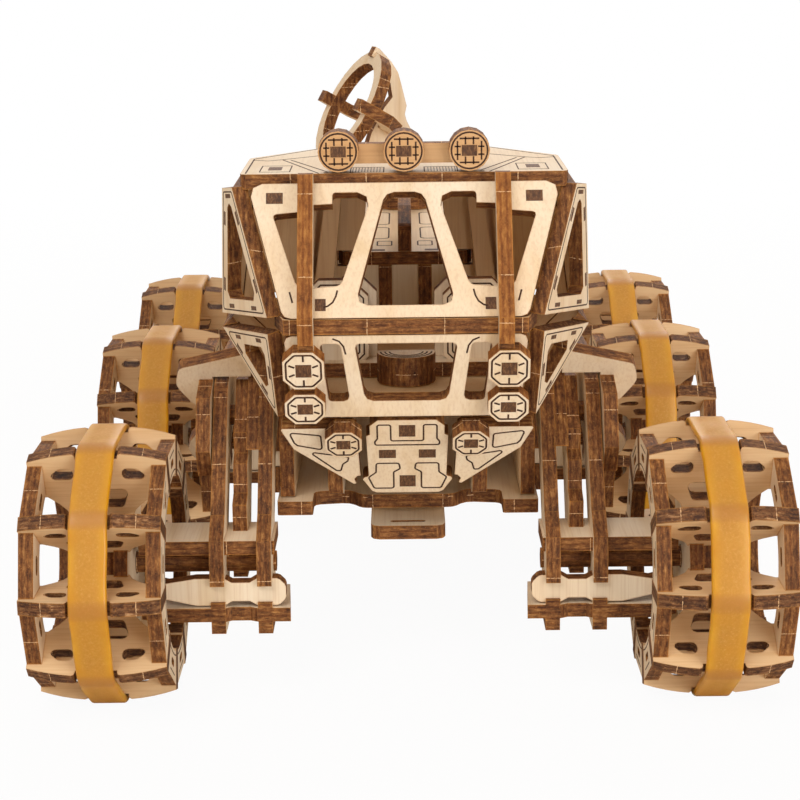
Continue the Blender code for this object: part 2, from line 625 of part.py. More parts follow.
def cab():
    piece("cab_windscreen", windscreen())
    piece("cab_ledge", ledge(), ["cab_windscreen"])
    piece("cab_lower_front", lower_front(), ["cab_ledge"])
    at = cab_corners()
    fronts = ["cab_windscreen", "cab_ledge", "cab_lower_front"]
    # name, outer corners anticlockwise from outside, frame width (0: no window), what it is cut back by
    table = [
        ("cab_corner_upper", ("ridge", "waist", "eave", "brow"), 4.2, fronts),
        ("cab_corner_lower", ("chin", "waist_low", "ridge_low"), 4.0,
         fronts + ["cab_corner_upper", "chin_wing"]),
        ("cab_side_upper", ("waist", "hip", "eave_rear", "eave"), 0, ["cab_corner_upper"]),
        ("cab_side_lower", ("sill", "sill_hip", "hip_low", "waist_low"), 0,
         ["cab_corner_lower", "cab_side_upper", "chin_wing"]),
        ("cab_quarter_upper", ("hip", "tail", "tail_top", "eave_rear"), 0, ["cab_side_upper"]),
        ("cab_quarter_lower", ("sill_hip", "sill_tail", "tail_low", "hip_low"), 0,
         ["cab_side_lower", "cab_side_upper", "cab_quarter_upper"]),
    ]
    for name, corners, frame, neighbours in table:
        pair(name, [wall_panel([at[c] for c in corners], frame)], neighbours)
    walls = [row[0] for row in table]
    roof = rounded([(-ROOF_HALF, ROOF_FRONT, 1.5), (ROOF_HALF, ROOF_FRONT, 1.5), (ROOF_HALF, ROOF_BEND, 2),
                    (ROOF_REAR_HALF, ROOF_REAR, 2), (-ROOF_REAR_HALF, ROOF_REAR, 2),
                    (-ROOF_HALF, ROOF_BEND, 2)])
    piece("cab_roof", [level_plate(roof, ROOF_TOP - SHEET)], walls + fronts)
    sill = SILL_HALF - SHEET - 1.0
    floor = [(-sill + 3, CHIN_TOP[0] + SHEET + 1), (sill - 3, CHIN_TOP[0] + SHEET + 1), (sill, SHOULDER[1]),
             (CAB_REAR_HALF - 17, CAB_REAR - SHEET - GAP), (-CAB_REAR_HALF + 17, CAB_REAR - SHEET - GAP),
             (-sill, SHOULDER[1])]
    piece("cab_floor", [level_plate(floor, CAB_FLOOR_TOP - SHEET)], walls + ["chin_plate", "chin_wing"])
    foot, waist, head = CAB_REAR_HALF - 16.0, CAB_REAR_HALF - 4.0, ROOF_REAR_HALF - 2.0
    top = ROOF_TOP - SHEET - GAP
    wall = [(-foot, CAB_FLOOR_TOP - SHEET), (foot, CAB_FLOOR_TOP - SHEET), (waist, WAIST_Z - SHEET),
            (waist, WAIST_Z),
            (head, top), (-head, top), (-waist, WAIST_Z), (-waist, WAIST_Z - SHEET)]
    half = DOORWAY_HALF
    doorway = rounded([(-9, CAB_FLOOR_TOP + 3, 2), (9, CAB_FLOOR_TOP + 3, 2), (half, WAIST_Z - 1, 2),
                       (half - 3.5, top - 5, 3), (3.5 - half, top - 5, 3), (-half, WAIST_Z - 1, 2)])
    piece("cab_rear", [upright_plate(wall, CAB_REAR - SHEET, [doorway])], walls)


def octagon(a, b, wide, tall, cut):
    a0, a1, b0, b1 = a - wide / 2, a + wide / 2, b - tall / 2, b + tall / 2
    return [(a0 + cut, b0), (a1 - cut, b0), (a1, b0 + cut), (a1, b1 - cut),
            (a1 - cut, b1), (a0 + cut, b1), (a0, b1 - cut), (a0, b0 + cut)]


def lamp_posts():
    """A bar down each side of the windscreen with two stacked lamps under it."""
    bar_x = RIDGE_HALF - 7.8
    proud = 4.2
    rise = slope(RIDGE, BROW)[1]
    inner, outer = RIDGE[0] - rise * GAP - 0.4, RIDGE[0] - rise * (proud + GAP)    # Y at the ridge
    head = BROW[0] - GAP - 0.9
    bar = [(inner, RIDGE[1] - 5.0), (inner, RIDGE[1] + 0.5), (head, BROW[1] - 1.0), (head, ROOF_TOP + 0.5),
           (head - 2.9, ROOF_TOP + 0.5), (outer - 1.2, RIDGE[1] + 1.0), (outer - 0.4, RIDGE[1] - 6.0),
           (RIDGE[0] - 1.5, RIDGE[1] - 9.5)]
    panel_head = (RIDGE[0], RIDGE[1] - SHEET - GAP)
    place = front_plane(CHIN_TOP, panel_head)
    length = slope(CHIN_TOP, panel_head)[2]
    upper = octagon(bar_x + SHEET / 2 + 0.8, length - 8.0, 10.8, 11.2, 2.8)
    lower = octagon(bar_x + SHEET / 2 + 0.8, 5.4, 10.6, 9.2, 2.6)
    bridge = rectangle(bar_x + 1.2, 5.4, bar_x + 5.6, length - 6.0)
    parts = [side_plate(bar[::-1], bar_x), placed(prism(upper, low=GAP, high=GAP + SHEET), place),
             placed(prism(lower, low=GAP, high=GAP + SHEET), place),
             placed(prism(bridge, low=GAP, high=GAP + SHEET / 2), place)]
    pair("lamp_post", parts)


def chin():
    """The plate under the nose, and the wings beside it with a small lamp each."""
    place = front_plane(NOSE_FOOT, NOSE_TOP)
    length = slope(NOSE_FOOT, NOSE_TOP)[2]
    right = [(9.4, 0, 1.5), (12.6, 6.0, 0.6), (10.6, 6.6, 0.5), (11.0, length - 6.0, 0),
             (10.0, length - 5.4, 0),
             (10.0, length, 2.2)]
    outline = rounded(right + [(-a, b, r) for a, b, r in reversed(right)], 1)
    piece("chin_plate", [placed(prism(outline, low=-SHEET, high=0.0), place)])
    wing = rounded([(13.6, 2.6, 0.4), (15.0, 6.8, 1.0), (12.9, 7.0, 0), (13.6, length * 0.9, 1),
                    (34.0, length * 0.9, 0.4),
                    (30.6, length * 0.62, 0.8)][::-1], 1)
    lamp = octagon(17.0, length * 0.82, 9.8, 9.4, 2.6)
    parts = [placed(prism(wing, low=-SHEET, high=0.0), place),
             placed(prism(lamp, low=-1.0, high=SHEET), place)]
    strut = [(NOSE_FOOT[0] + 3, FLOOR_TOP + 4), (CHASSIS_FRONT, FLOOR_TOP + 1),
             (CHASSIS_FRONT + 12, FLOOR_TOP + GAP),
             (CHASSIS_FRONT + 24, FLOOR_TOP + GAP), (CHASSIS_FRONT + 10, CHASSIS_TOP - 2),
             (NOSE_TOP[0] + 9, CHASSIS_TOP - 2)]
    parts.append(side_plate(strut, 18.0))
    pair("chin_wing", parts)


def lamp_bar():
    """Three round lamps on one plate that stands on the roof's front edge."""
    y0 = ROOF_FRONT - 1.5
    centre_z = ROOF_TOP + 5.8
    span = 17.2
    radius = 5.4
    parts = [upright_plate([(-span, centre_z - 3.6), (span, centre_z - 3.6), (span, centre_z + 1.6),
                            (-span, centre_z + 1.6)], y0 + SHEET)]
    for k in (-1, 0, 1):
        parts.append(upright_plate(circle(k * span, centre_z, radius, 16), y0, thick=SHEET * 2))
        link = rectangle(k * span - 2, ROOF_TOP + GAP, k * span + 2, centre_z)
        parts.append(upright_plate(link, y0 + SHEET))
    piece("lamp_bar", parts)


def cockpit():
    """Two seat backs on one base and the half-round console between them."""
    z0 = CAB_FLOOR_TOP + GAP
    parts = [level_plate([(-26, -108), (26, -108), (26, -92), (-26, -92)], z0)]
    for sign in (1, -1):
        back = octagon(sign * 14.5, z0 + 13.5, 13.0, 26.0, 4.0)
        parts.append(upright_plate(back, -100.0))
    piece("seats", parts)
    turns = [pi + pi * k / 8 for k in range(9)]
    dash = [(8.0 * cos(turn), -112.0 + 8.0 * sin(turn)) for turn in turns]
    piece("console", [level_plate(dash, z0, thick=8.0)])


# Rear hull

def hull():
    z0 = FLOOR_TOP + GAP
    z1 = DECK_TOP - SHEET - GAP
    front = CAB_REAR + 10.0
    rear = HULL_REAR - SHEET - GAP
    outline = rounded([(front, z0, 1), (rear, z0, 1), (rear, z1, 1), (front, z1, 1)])
    bays = []
    count = 5
    pitch = (rear - front - 6.0) / count
    for k in range(count):
        y0 = front + 6.0 + pitch * k
        bays.append(rounded([(y0, CHASSIS_TOP + 4, 3), (y0 + pitch - 6, CHASSIS_TOP + 4, 3),
                             (y0 + pitch - 6, z1 - 6, 3),
                             (y0, z1 - 6, 3)], 1))
    pair("hull_side", [side_plate(outline, HULL_HALF - SHEET, bays)])
    edge = HULL_HALF + 2
    deck = rounded([(-DECK_NOSE_HALF, DECK_FRONT, 5), (DECK_NOSE_HALF, DECK_FRONT, 5),
                    (DECK_NOSE_HALF, CAB_REAR + 8, 0), (edge, CAB_REAR + 18, 3), (edge, HULL_REAR - 12, 5),
                    (HULL_HALF - 10, HULL_REAR + 6, 4),
                    (-HULL_HALF + 10, HULL_REAR + 6, 4), (-HULL_HALF - 2, HULL_REAR - 12, 5),
                    (-HULL_HALF - 2, CAB_REAR + 18, 3), (-DECK_NOSE_HALF, CAB_REAR + 8, 0)])
    piece("deck", [level_plate(deck, DECK_TOP - SHEET)])
    hatch = rectangle(-16, CHASSIS_TOP, 16, z1 - 8, 4)
    rear = rectangle(-HULL_HALF, z0, HULL_HALF, z1, 2)
    piece("hull_rear", [upright_plate(rear, HULL_REAR - SHEET, [hatch])])
    posts = [side_plate(rectangle(CAB_REAR + GAP, z0, CAB_REAR + 34, z1), x)
             for x in (4.0, -8.0)]
    inner = HULL_HALF - SHEET - GAP
    tie = level_plate(rectangle(-inner, CAB_REAR + 8, inner, CAB_REAR + 28), CHASSIS_TOP - SHEET)
    piece("motor_frame", posts + [tie])
    spine = rounded([(DECK_FRONT - 1, DECK_TOP + GAP, 0), (MAST_Y - 16, DECK_TOP + GAP, 0),
                     (MAST_Y - 20, DECK_TOP + 9, 3),
                     (DECK_FRONT + 14, DECK_TOP + 12, 4), (DECK_FRONT - 1, DECK_TOP + 8, 2)])
    piece("deck_spine", [side_plate(spine, -SHEET / 2)])


def dish():
    """Mast on the deck; the dish turns on it."""
    base = level_plate(octagon(0, MAST_Y, 22, 22, 6), DECK_TOP + GAP)
    post = [side_plate([(MAST_Y - 5, DECK_TOP + 1), (MAST_Y + 5, DECK_TOP + 1), (MAST_Y + 3, MAST_TOP - 10),
                        (MAST_Y - 3, MAST_TOP - 10)], -SHEET / 2),
            upright_plate([(-5, DECK_TOP + 1), (5, DECK_TOP + 1), (3, MAST_TOP - 10), (-3, MAST_TOP - 10)],
                          MAST_Y - SHEET / 2)]
    piece("mast", [base] + post)
    facing = Vector(DISH_FACING).normalized()
    axis_foot = Vector((0, MAST_Y, MAST_TOP))
    rim_centre = axis_foot + Vector((0, 0, 1.4)) + facing * DISH_REACH
    long_way = (Vector((0, 0, 1)) - facing * facing.z).normalized()
    cross_way = facing.cross(long_way)
    outer, inner = DISH_RADIUS, DISH_RADIUS - DISH_RIM
    ring = prism(circle(0, 0, outer, 24), [circle(0, 0, inner, 24)], -SHEET, 0.0)
    # the rib across: straight sides, its tabs through the ring
    tip = outer + 0.6
    wing = [(tip, 3.5), (tip, -9.0), (8.0, 1.0 - DISH_DEPTH)]
    bay = [(4.5, -12.5), (inner, -6.5), (inner, 3.5)]
    across = wing + mirrored(wing) + mirrored(bay) + bay
    # the upright rib: a crescent, and its foot on the mast's hub
    side = [(outer + 1.4, 1.0), (outer + 1.4, -0.5), (outer - 0.4, -6.3), (outer - 2.4, -10.2),
            (outer - 5.9, -13.7), (outer - 10.8, -18.4)]
    lining = [(4.8, -11.5), (9.4, -12.4), (13.1, -9.5), (inner - 0.5, -4.5), (outer - 2.0, -2.0),
              (outer - 2.0, 1.0)]
    foot = [q - rim_centre for q in foot_corners(axis_foot, facing)]
    hub_at = [(q.dot(long_way), q.dot(facing)) for q in foot]
    crescent = side + [(6.4, -19.2), (4.7, -20.9)] + hub_at + mirrored(side) + mirrored(lining) + lining
    parts = [placed(ring, plane(rim_centre, long_way, cross_way)),
             placed(rib(across), plane(rim_centre, cross_way, facing)),
             placed(rib(crescent), plane(rim_centre, long_way, facing)),
             rod((0, MAST_Y, MAST_TOP - 10 + GAP), (0, MAST_Y, MAST_TOP - 1.0), 4.5, 12)]
    node("dish", fused(parts), axis=axis_foot)


def foot_corners(axis_foot, facing):
    """Corners of the upright rib's foot round the mast's axis, from its back to its front."""
    away = Vector((-facing.x, -facing.y, 0)).normalized()
    corners = ((4.0, 0.0), (4.0, -6.0), (-4.0, -6.0), (-4.0, -2.0))
    return [axis_foot + away * a + Vector((0, 0, z)) for a, z in corners]


def rib(outline):
    """One plate standing in the middle of its plane, from a clockwise outline."""
    return prism(outline[::-1], low=-SHEET / 2, high=SHEET / 2)


def build():
    clear_scene()
    wheels()
    suspension()
    chassis()
    chin()
    cab()
    lamp_posts()
    lamp_bar()
    cockpit()
    hull()
    dish()


build()
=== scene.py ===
"""Planetary rover model kit: the looks of its laser-cut birch plywood and amber rubber tyres.

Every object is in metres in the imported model's frame: +Z up, the front faces -Y.
Plate outlines below are in millimetres.
"""

import bpy
import bmesh
from math import atan, atan2, cos, hypot, pi, radians, sin, tan
from mathutils import Matrix, Vector


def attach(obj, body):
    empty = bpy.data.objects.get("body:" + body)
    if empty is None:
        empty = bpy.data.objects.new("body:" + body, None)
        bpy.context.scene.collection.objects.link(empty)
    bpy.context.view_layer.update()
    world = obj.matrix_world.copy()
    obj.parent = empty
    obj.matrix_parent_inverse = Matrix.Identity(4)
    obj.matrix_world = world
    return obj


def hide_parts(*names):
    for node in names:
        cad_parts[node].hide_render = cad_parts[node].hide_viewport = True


MM = 0.001
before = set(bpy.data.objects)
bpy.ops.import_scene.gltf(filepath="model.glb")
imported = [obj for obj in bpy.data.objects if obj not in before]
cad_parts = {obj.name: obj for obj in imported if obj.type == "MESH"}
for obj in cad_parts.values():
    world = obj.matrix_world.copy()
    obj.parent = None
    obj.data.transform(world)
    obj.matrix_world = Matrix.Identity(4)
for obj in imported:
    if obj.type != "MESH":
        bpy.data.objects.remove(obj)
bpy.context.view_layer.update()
scene = bpy.context.scene

# Values of the plates in millimetres, the same as in the part's own source

SHEET = 4.0
GAP = 0.3
WHEEL_ROWS = {"front": -114.5, "middle": 17.5, "rear": 114.5}
TRACK_HALF = 83.7
SLATS = 10
SLAT_HALF = 18.8
SLAT_CREST = 37.8
SLAT_END = 35.4
SLAT_FOOT = 23.9
NOTCH_HALF = 5.65
NOTCH_RADIUS = 36.35
RIM_CORNER = 34.8
RIM_HOLE = 24.8
HUB_RADIUS = 18.0
HUB_HALF = 7.7
AXLE_HOLE = 3.3
BAND_RADIUS = 39.5
BAND_THICK = 2.2
BAND_WIDTH = 10.7
AXLE_Z = BAND_RADIUS * cos(pi / SLATS)
RIDGE = (-139.0, AXLE_Z + 73.8)
BROW = (-119.5, RIDGE[1] + 32.5)
CHIN_TOP = (-130.6, AXLE_Z + 45.6)
NOSE_TOP = (-129.8, CHIN_TOP[1] - 1.3)
NOSE_FOOT = (-115.3, AXLE_Z + 19.8)
ROOF_TOP = BROW[1] + 2.4
DECK_TOP = AXLE_Z + 77.3
CAB_FLOOR_TOP = AXLE_Z + 50.6


# Sizes of what the finishes show, in millimetres

FIBRE = 0.667               # a birch fibre's width, drawn wider than it is so that it shows
FIBRE_SQUEEZE = 0.03        # its width as a share of its length
FIGURE = 6.25               # the wood's figure
CLOUD = 35.7                # slow changes of tone on a face
SMOKE_REACH = 0.6           # the laser's smoke beside a cut
SOOT = 3.85                 # blotches on a burnt edge
STREAK_SQUEEZE = 0.22       # a streak's width on an edge as a share of its length
FLECK = 0.625               # amber flecks on an edge
BORDER_REACH = 0.7          # amber border of an edge
PLY_PAIR = 1.6              # two plies, one pale and one dark
PLY_WANDER = 0.6            # how far the plies' lines wander
NICK_PITCH = 20.0           # from one nick, where the piece was held in its sheet, to the next
NICK_HALF = 0.22            # a nick's widest half
LINE_SMOKE = 1.11           # changes of tone along an engraved line
END_FIBRE = 0.526           # fibres of a tab's end, drawn wider than they are
RUBBER_SPECK = 0.769        # specks of dust on a band, drawn larger than they are
RUBBER_CLOUD = 8.33         # changes of tone along a band
BLOOM_FULL = 1.6            # how far from the band's middle its bloom is full
BLOOM_END = 5.2             # and where it ends
ENGRAVED = 0.45             # width of an engraved line
PROUD = 0.06                # how far it stands on its plate, so that it shows


# Finishes

def pattern_scale(size):
    """Scale at which a pattern's features have about this size in millimetres."""
    return 1 / (size * MM)


def linear(code):
    """Linear colour from an sRGB hex value."""
    values = [int(code[i:i + 2], 16) / 255 for i in (1, 3, 5)]
    return tuple(v / 12.92 if v <= 0.04045 else ((v + 0.055) / 1.055) ** 2.4 for v in values) + (1.0,)


def add(tree, kind, inputs=None, stops=(), **settings):
    """Adds a node with its settings, input values and links, and a ramp's stops as (position, hex)."""
    made = tree.nodes.new(kind)
    for key, value in settings.items():
        setattr(made, key, value)
    for key, value in (inputs or {}).items():
        if isinstance(value, bpy.types.NodeSocket):
            tree.links.new(value, made.inputs[key])
        else:
            made.inputs[key].default_value = value
    if stops:
        band = made.color_ramp.elements
        while len(band) < len(stops):
            band.new(0.5)
        for stop, (position, code) in zip(band, stops):
            stop.position = position
            stop.color = linear(code)
    return made


def blank(name):
    """A new material, its node tree and its shader."""
    made = bpy.data.materials.new(name)
    made.use_nodes = True
    tree = made.node_tree
    shader = tree.nodes["Principled BSDF"]
    return made, tree, shader


def coat(tree, shader, colour, height, strength, depth):
    """Gives a shader its colour, and a fine relief as deep as this many millimetres."""
    relief = add(tree, "ShaderNodeBump", {"Height": height, "Strength": strength, "Distance": depth * MM})
    tree.links.new(colour, shader.inputs["Base Color"])
    tree.links.new(relief.outputs["Normal"], shader.inputs["Normal"])


def rim_of(tree, reach):
    """How near a point is to a plate's sharp edge: 1 on the edge, 0 further away than the reach."""
    soft_normal = add(tree, "ShaderNodeBevel", {"Radius": reach}, samples=4)
    flat_normal = add(tree, "ShaderNodeNewGeometry")
    same = add(tree, "ShaderNodeVectorMath",
               {0: soft_normal.outputs[0], 1: flat_normal.outputs["True Normal"]}, operation="DOT_PRODUCT")
    near = add(tree, "ShaderNodeMapRange",
               {"Value": same.outputs["Value"], "From Min": 0.985, "From Max": 0.80})
    return near.outputs["Result"]


def birch_face(name, grain, tint="#FFFFFF"):
    """Sanded birch plywood: pale cream with fine grain along one axis; the tint is painted shade, multiplied
    over the whole face.
    """
    made, tree, shader = blank(name)
    place = add(tree, "ShaderNodeTexCoord").outputs["Object"]
    squeeze = [1.0, 1.0, 1.0]
    squeeze["XYZ".index(grain)] = FIBRE_SQUEEZE
    drawn = add(tree, "ShaderNodeMapping", {"Vector": place, "Scale": squeeze}).outputs["Vector"]
    fibre = add(tree, "ShaderNodeTexNoise", {"Vector": drawn, "Scale": pattern_scale(FIBRE), "Detail": 3.0,
                                             "Roughness": 0.6})
    figure = add(tree, "ShaderNodeTexNoise", {"Vector": drawn, "Scale": pattern_scale(FIGURE), "Detail": 4.0,
                                              "Distortion": 0.6})
    cloud = add(tree, "ShaderNodeTexNoise", {"Vector": place, "Scale": pattern_scale(CLOUD), "Detail": 3.0})
    base = add(tree, "ShaderNodeValToRGB", {0: figure.outputs["Fac"]},
               [(0.30, "#F5E8D3"), (0.55, "#F2E2CB"), (0.74, "#E8D3B3")]).outputs["Color"]
    lines = add(tree, "ShaderNodeValToRGB", {0: fibre.outputs["Fac"]},
                [(0.36, "#D8B98C"), (0.50, "#F6E9D2"), (0.75, "#FFF9EC")]).outputs["Color"]
    both = add(tree, "ShaderNodeMix", {"Factor": 0.30, 6: base, 7: lines}, data_type="RGBA",
               blend_type="MULTIPLY")
    stain = add(tree, "ShaderNodeValToRGB", {0: cloud.outputs["Fac"]},
                [(0.35, "#FFFFFF"), (0.62, "#FBF0E0"), (0.80, "#F0DCBE")]).outputs["Color"]
    toned = add(tree, "ShaderNodeMix", {"Factor": 0.55, 6: both.outputs[2], 7: stain},
                data_type="RGBA", blend_type="MULTIPLY")
    # smoke beside a cut
    smoke = add(tree, "ShaderNodeMath", {0: rim_of(tree, SMOKE_REACH * MM), 1: 0.5}, operation="MULTIPLY")
    singed = add(tree, "ShaderNodeMix",
                 {"Factor": smoke.outputs[0], 6: toned.outputs[2], 7: linear("#B98146")}, data_type="RGBA")
    # painted shade: the tint, where one is given, darkens and warms the whole face
    shade_tinted = add(tree, "ShaderNodeMix", {"Factor": 1.0, 6: singed.outputs[2], 7: linear(tint)},
                 data_type="RGBA", blend_type="MULTIPLY")
    rough = add(tree, "ShaderNodeMapRange", {"Value": fibre.outputs["Fac"], "To Min": 0.50, "To Max": 0.68})
    tree.links.new(rough.outputs["Result"], shader.inputs["Roughness"])
    coat(tree, shader, shade_tinted.outputs[2], fibre.outputs["Fac"], 0.18, 0.2)
    return made


# Burnt colours: the body's edges, the wheels' planks and the lamp posts' sides

DARK_CHAR = [(0.36, "#3E2312"), (0.47, "#6B4222"), (0.55, "#8C5C32"), (0.66, "#BC8A50")]
WHEEL_CHAR = [(0.38, "#341D10"), (0.48, "#5E3C24"), (0.56, "#835A38"), (0.65, "#C0966A")]
AMBER_CHAR = [(0.34, "#643612"), (0.50, "#965E2A"), (0.68, "#C48A48")]


def charred_edge(name, across=None, pitch=NICK_PITCH, char=DARK_CHAR):
    """Laser-cut plywood edge: burnt brown, amber flecks and borders, faint plies, pale nicks from the sheet.

    across is the plate's own normal; without it the piece's "plate" attribute gives the place on the plate.
    """
    made, tree, shader = blank(name)
    where = add(tree, "ShaderNodeTexCoord")
    solid = where.outputs["Object"]
    if across is None:
        place = add(tree, "ShaderNodeAttribute", attribute_name="plate").outputs["Vector"]
        parts = add(tree, "ShaderNodeSeparateXYZ", {0: place})
        through, along = parts.outputs["Z"], parts.outputs["X"]
    else:
        run = add(tree, "ShaderNodeVectorMath", {0: where.outputs["Normal"], 1: across},
                  operation="CROSS_PRODUCT")
        through = add(tree, "ShaderNodeVectorMath", {0: solid, 1: across},
                      operation="DOT_PRODUCT").outputs["Value"]
        along = add(tree, "ShaderNodeVectorMath", {0: solid, 1: run.outputs["Vector"]},
                    operation="DOT_PRODUCT").outputs["Value"]
    soot = add(tree, "ShaderNodeTexNoise",
               {"Vector": solid, "Scale": pattern_scale(SOOT), "Detail": 4.0, "Roughness": 0.65})
    fleck = add(tree, "ShaderNodeTexNoise",
                {"Vector": solid, "Scale": pattern_scale(FLECK), "Detail": 2.0, "Roughness": 0.75})
    # five plies in a sheet
    wander = add(tree, "ShaderNodeMath", {0: soot.outputs["Fac"], 1: PLY_WANDER * MM}, operation="MULTIPLY")
    level = add(tree, "ShaderNodeMath", {0: through, 1: wander.outputs[0]}, operation="ADD")
    ply = add(tree, "ShaderNodeMath", {0: level.outputs[0], 1: 2 * pi / (PLY_PAIR * MM)},
              operation="MULTIPLY")
    wave = add(tree, "ShaderNodeMath", {0: ply.outputs[0]}, operation="SINE")
    ply_level = add(tree, "ShaderNodeMapRange", {"Value": wave.outputs[0], "From Min": -1.0})
    # streaks along the plies
    depth = add(tree, "ShaderNodeVectorMath", {0: solid, 1: where.outputs["Normal"]},
                operation="DOT_PRODUCT")
    slow = add(tree, "ShaderNodeMath", {0: along, 1: STREAK_SQUEEZE}, operation="MULTIPLY")
    on_edge = add(tree, "ShaderNodeCombineXYZ", {0: through, 1: slow.outputs[0], 2: depth.outputs["Value"]})
    streak = add(tree, "ShaderNodeTexNoise", {"Vector": on_edge.outputs[0], "Scale": pattern_scale(FIBRE),
                                              "Detail": 5.0, "Roughness": 0.72})
    blend = add(tree, "ShaderNodeMix", {"Factor": 0.62, 2: soot.outputs["Fac"], 3: streak.outputs["Fac"]})
    dark = add(tree, "ShaderNodeValToRGB", {0: blend.outputs[0]}, char).outputs["Color"]
    plies = add(tree, "ShaderNodeValToRGB", {0: ply_level.outputs["Result"]},
                [(0.0, "#B98F68"), (0.6, "#FFFFFF"), (1.0, "#FFFFFF")]).outputs["Color"]
    body = add(tree, "ShaderNodeMix", {"Factor": 0.6, 6: dark, 7: plies}, data_type="RGBA",
               blend_type="MULTIPLY")
    border = add(tree, "ShaderNodeMath", {0: rim_of(tree, BORDER_REACH * MM), 1: soot.outputs["Fac"]},
                 operation="MULTIPLY")
    rimmed = add(tree, "ShaderNodeMix",
                 {"Factor": border.outputs[0], 6: body.outputs[2], 7: linear("#CC8C3C")}, data_type="RGBA")
    flecks = add(tree, "ShaderNodeMapRange",
                 {"Value": fleck.outputs["Fac"], "From Min": 0.58, "From Max": 0.74, "To Max": 0.6})
    specked = add(tree, "ShaderNodeMix", {"Factor": flecks.outputs["Result"], 6: rimmed.outputs[2],
                                          7: linear("#AE763C")}, data_type="RGBA")
    # a nick is a ragged pale line, mostly 0.1 to 0.3 mm wide
    steps = add(tree, "ShaderNodeMath", {0: along, 1: pitch * MM}, operation="DIVIDE")
    within = add(tree, "ShaderNodeMath", {0: steps.outputs[0]}, operation="FRACT")
    centred = add(tree, "ShaderNodeMath", {0: within.outputs[0], 1: 0.5}, operation="SUBTRACT")
    near = add(tree, "ShaderNodeMath", {0: centred.outputs[0]}, operation="ABSOLUTE")
    ragged = add(tree, "ShaderNodeMapRange", {"Value": fleck.outputs["Fac"], "From Min": 0.36,
                                              "From Max": 0.75, "To Min": 0.0, "To Max": NICK_HALF / pitch})
    nick = add(tree, "ShaderNodeMath", {0: near.outputs[0], 1: ragged.outputs["Result"]},
               operation="LESS_THAN")
    marked = add(tree, "ShaderNodeMix",
                 {"Factor": nick.outputs[0], 6: specked.outputs[2], 7: linear("#DDB588")}, data_type="RGBA")
    shader.inputs["Roughness"].default_value = 0.7
    shader.inputs["Specular IOR Level"].default_value = 0.3
    coat(tree, shader, marked.outputs[2], fleck.outputs["Fac"], 0.35, 0.3)
    return made


def engraved_burn():
    """A line burnt by the laser: dark brown, its tone changing along it."""
    made, tree, shader = blank("laser_engraved_line")
    place = add(tree, "ShaderNodeTexCoord").outputs["Object"]
    smoke = add(tree, "ShaderNodeTexNoise",
                {"Vector": place, "Scale": pattern_scale(LINE_SMOKE), "Detail": 2.0})
    colour = add(tree, "ShaderNodeValToRGB", {0: smoke.outputs["Fac"]},
                 [(0.35, "#2E1709"), (0.60, "#4A2A14"), (0.80, "#6E4523")]).outputs["Color"]
    tree.links.new(colour, shader.inputs["Base Color"])
    shader.inputs["Roughness"].default_value = 0.8
    return made


def tab_end():
    """The end of a tab that comes through a slot: burnt end grain with short pale fibres."""
    made, tree, shader = blank("plywood_tab_end")
    place = add(tree, "ShaderNodeTexCoord").outputs["Object"]
    short = add(tree, "ShaderNodeMapping", {"Vector": place, "Scale": (1.0, 0.4, 0.4)}).outputs["Vector"]
    fibre = add(tree, "ShaderNodeTexNoise",
                {"Vector": short, "Scale": pattern_scale(END_FIBRE), "Detail": 3.0, "Roughness": 0.7})
    colour = add(tree, "ShaderNodeValToRGB", {0: fibre.outputs["Fac"]},
                 [(0.30, "#3A2010"), (0.50, "#5C3A20"), (0.66, "#7C5634"),
                  (0.85, "#B08A5E")]).outputs["Color"]
    shader.inputs["Roughness"].default_value = 0.7
    coat(tree, shader, colour, fibre.outputs["Fac"], 0.4, 0.3)
    return made


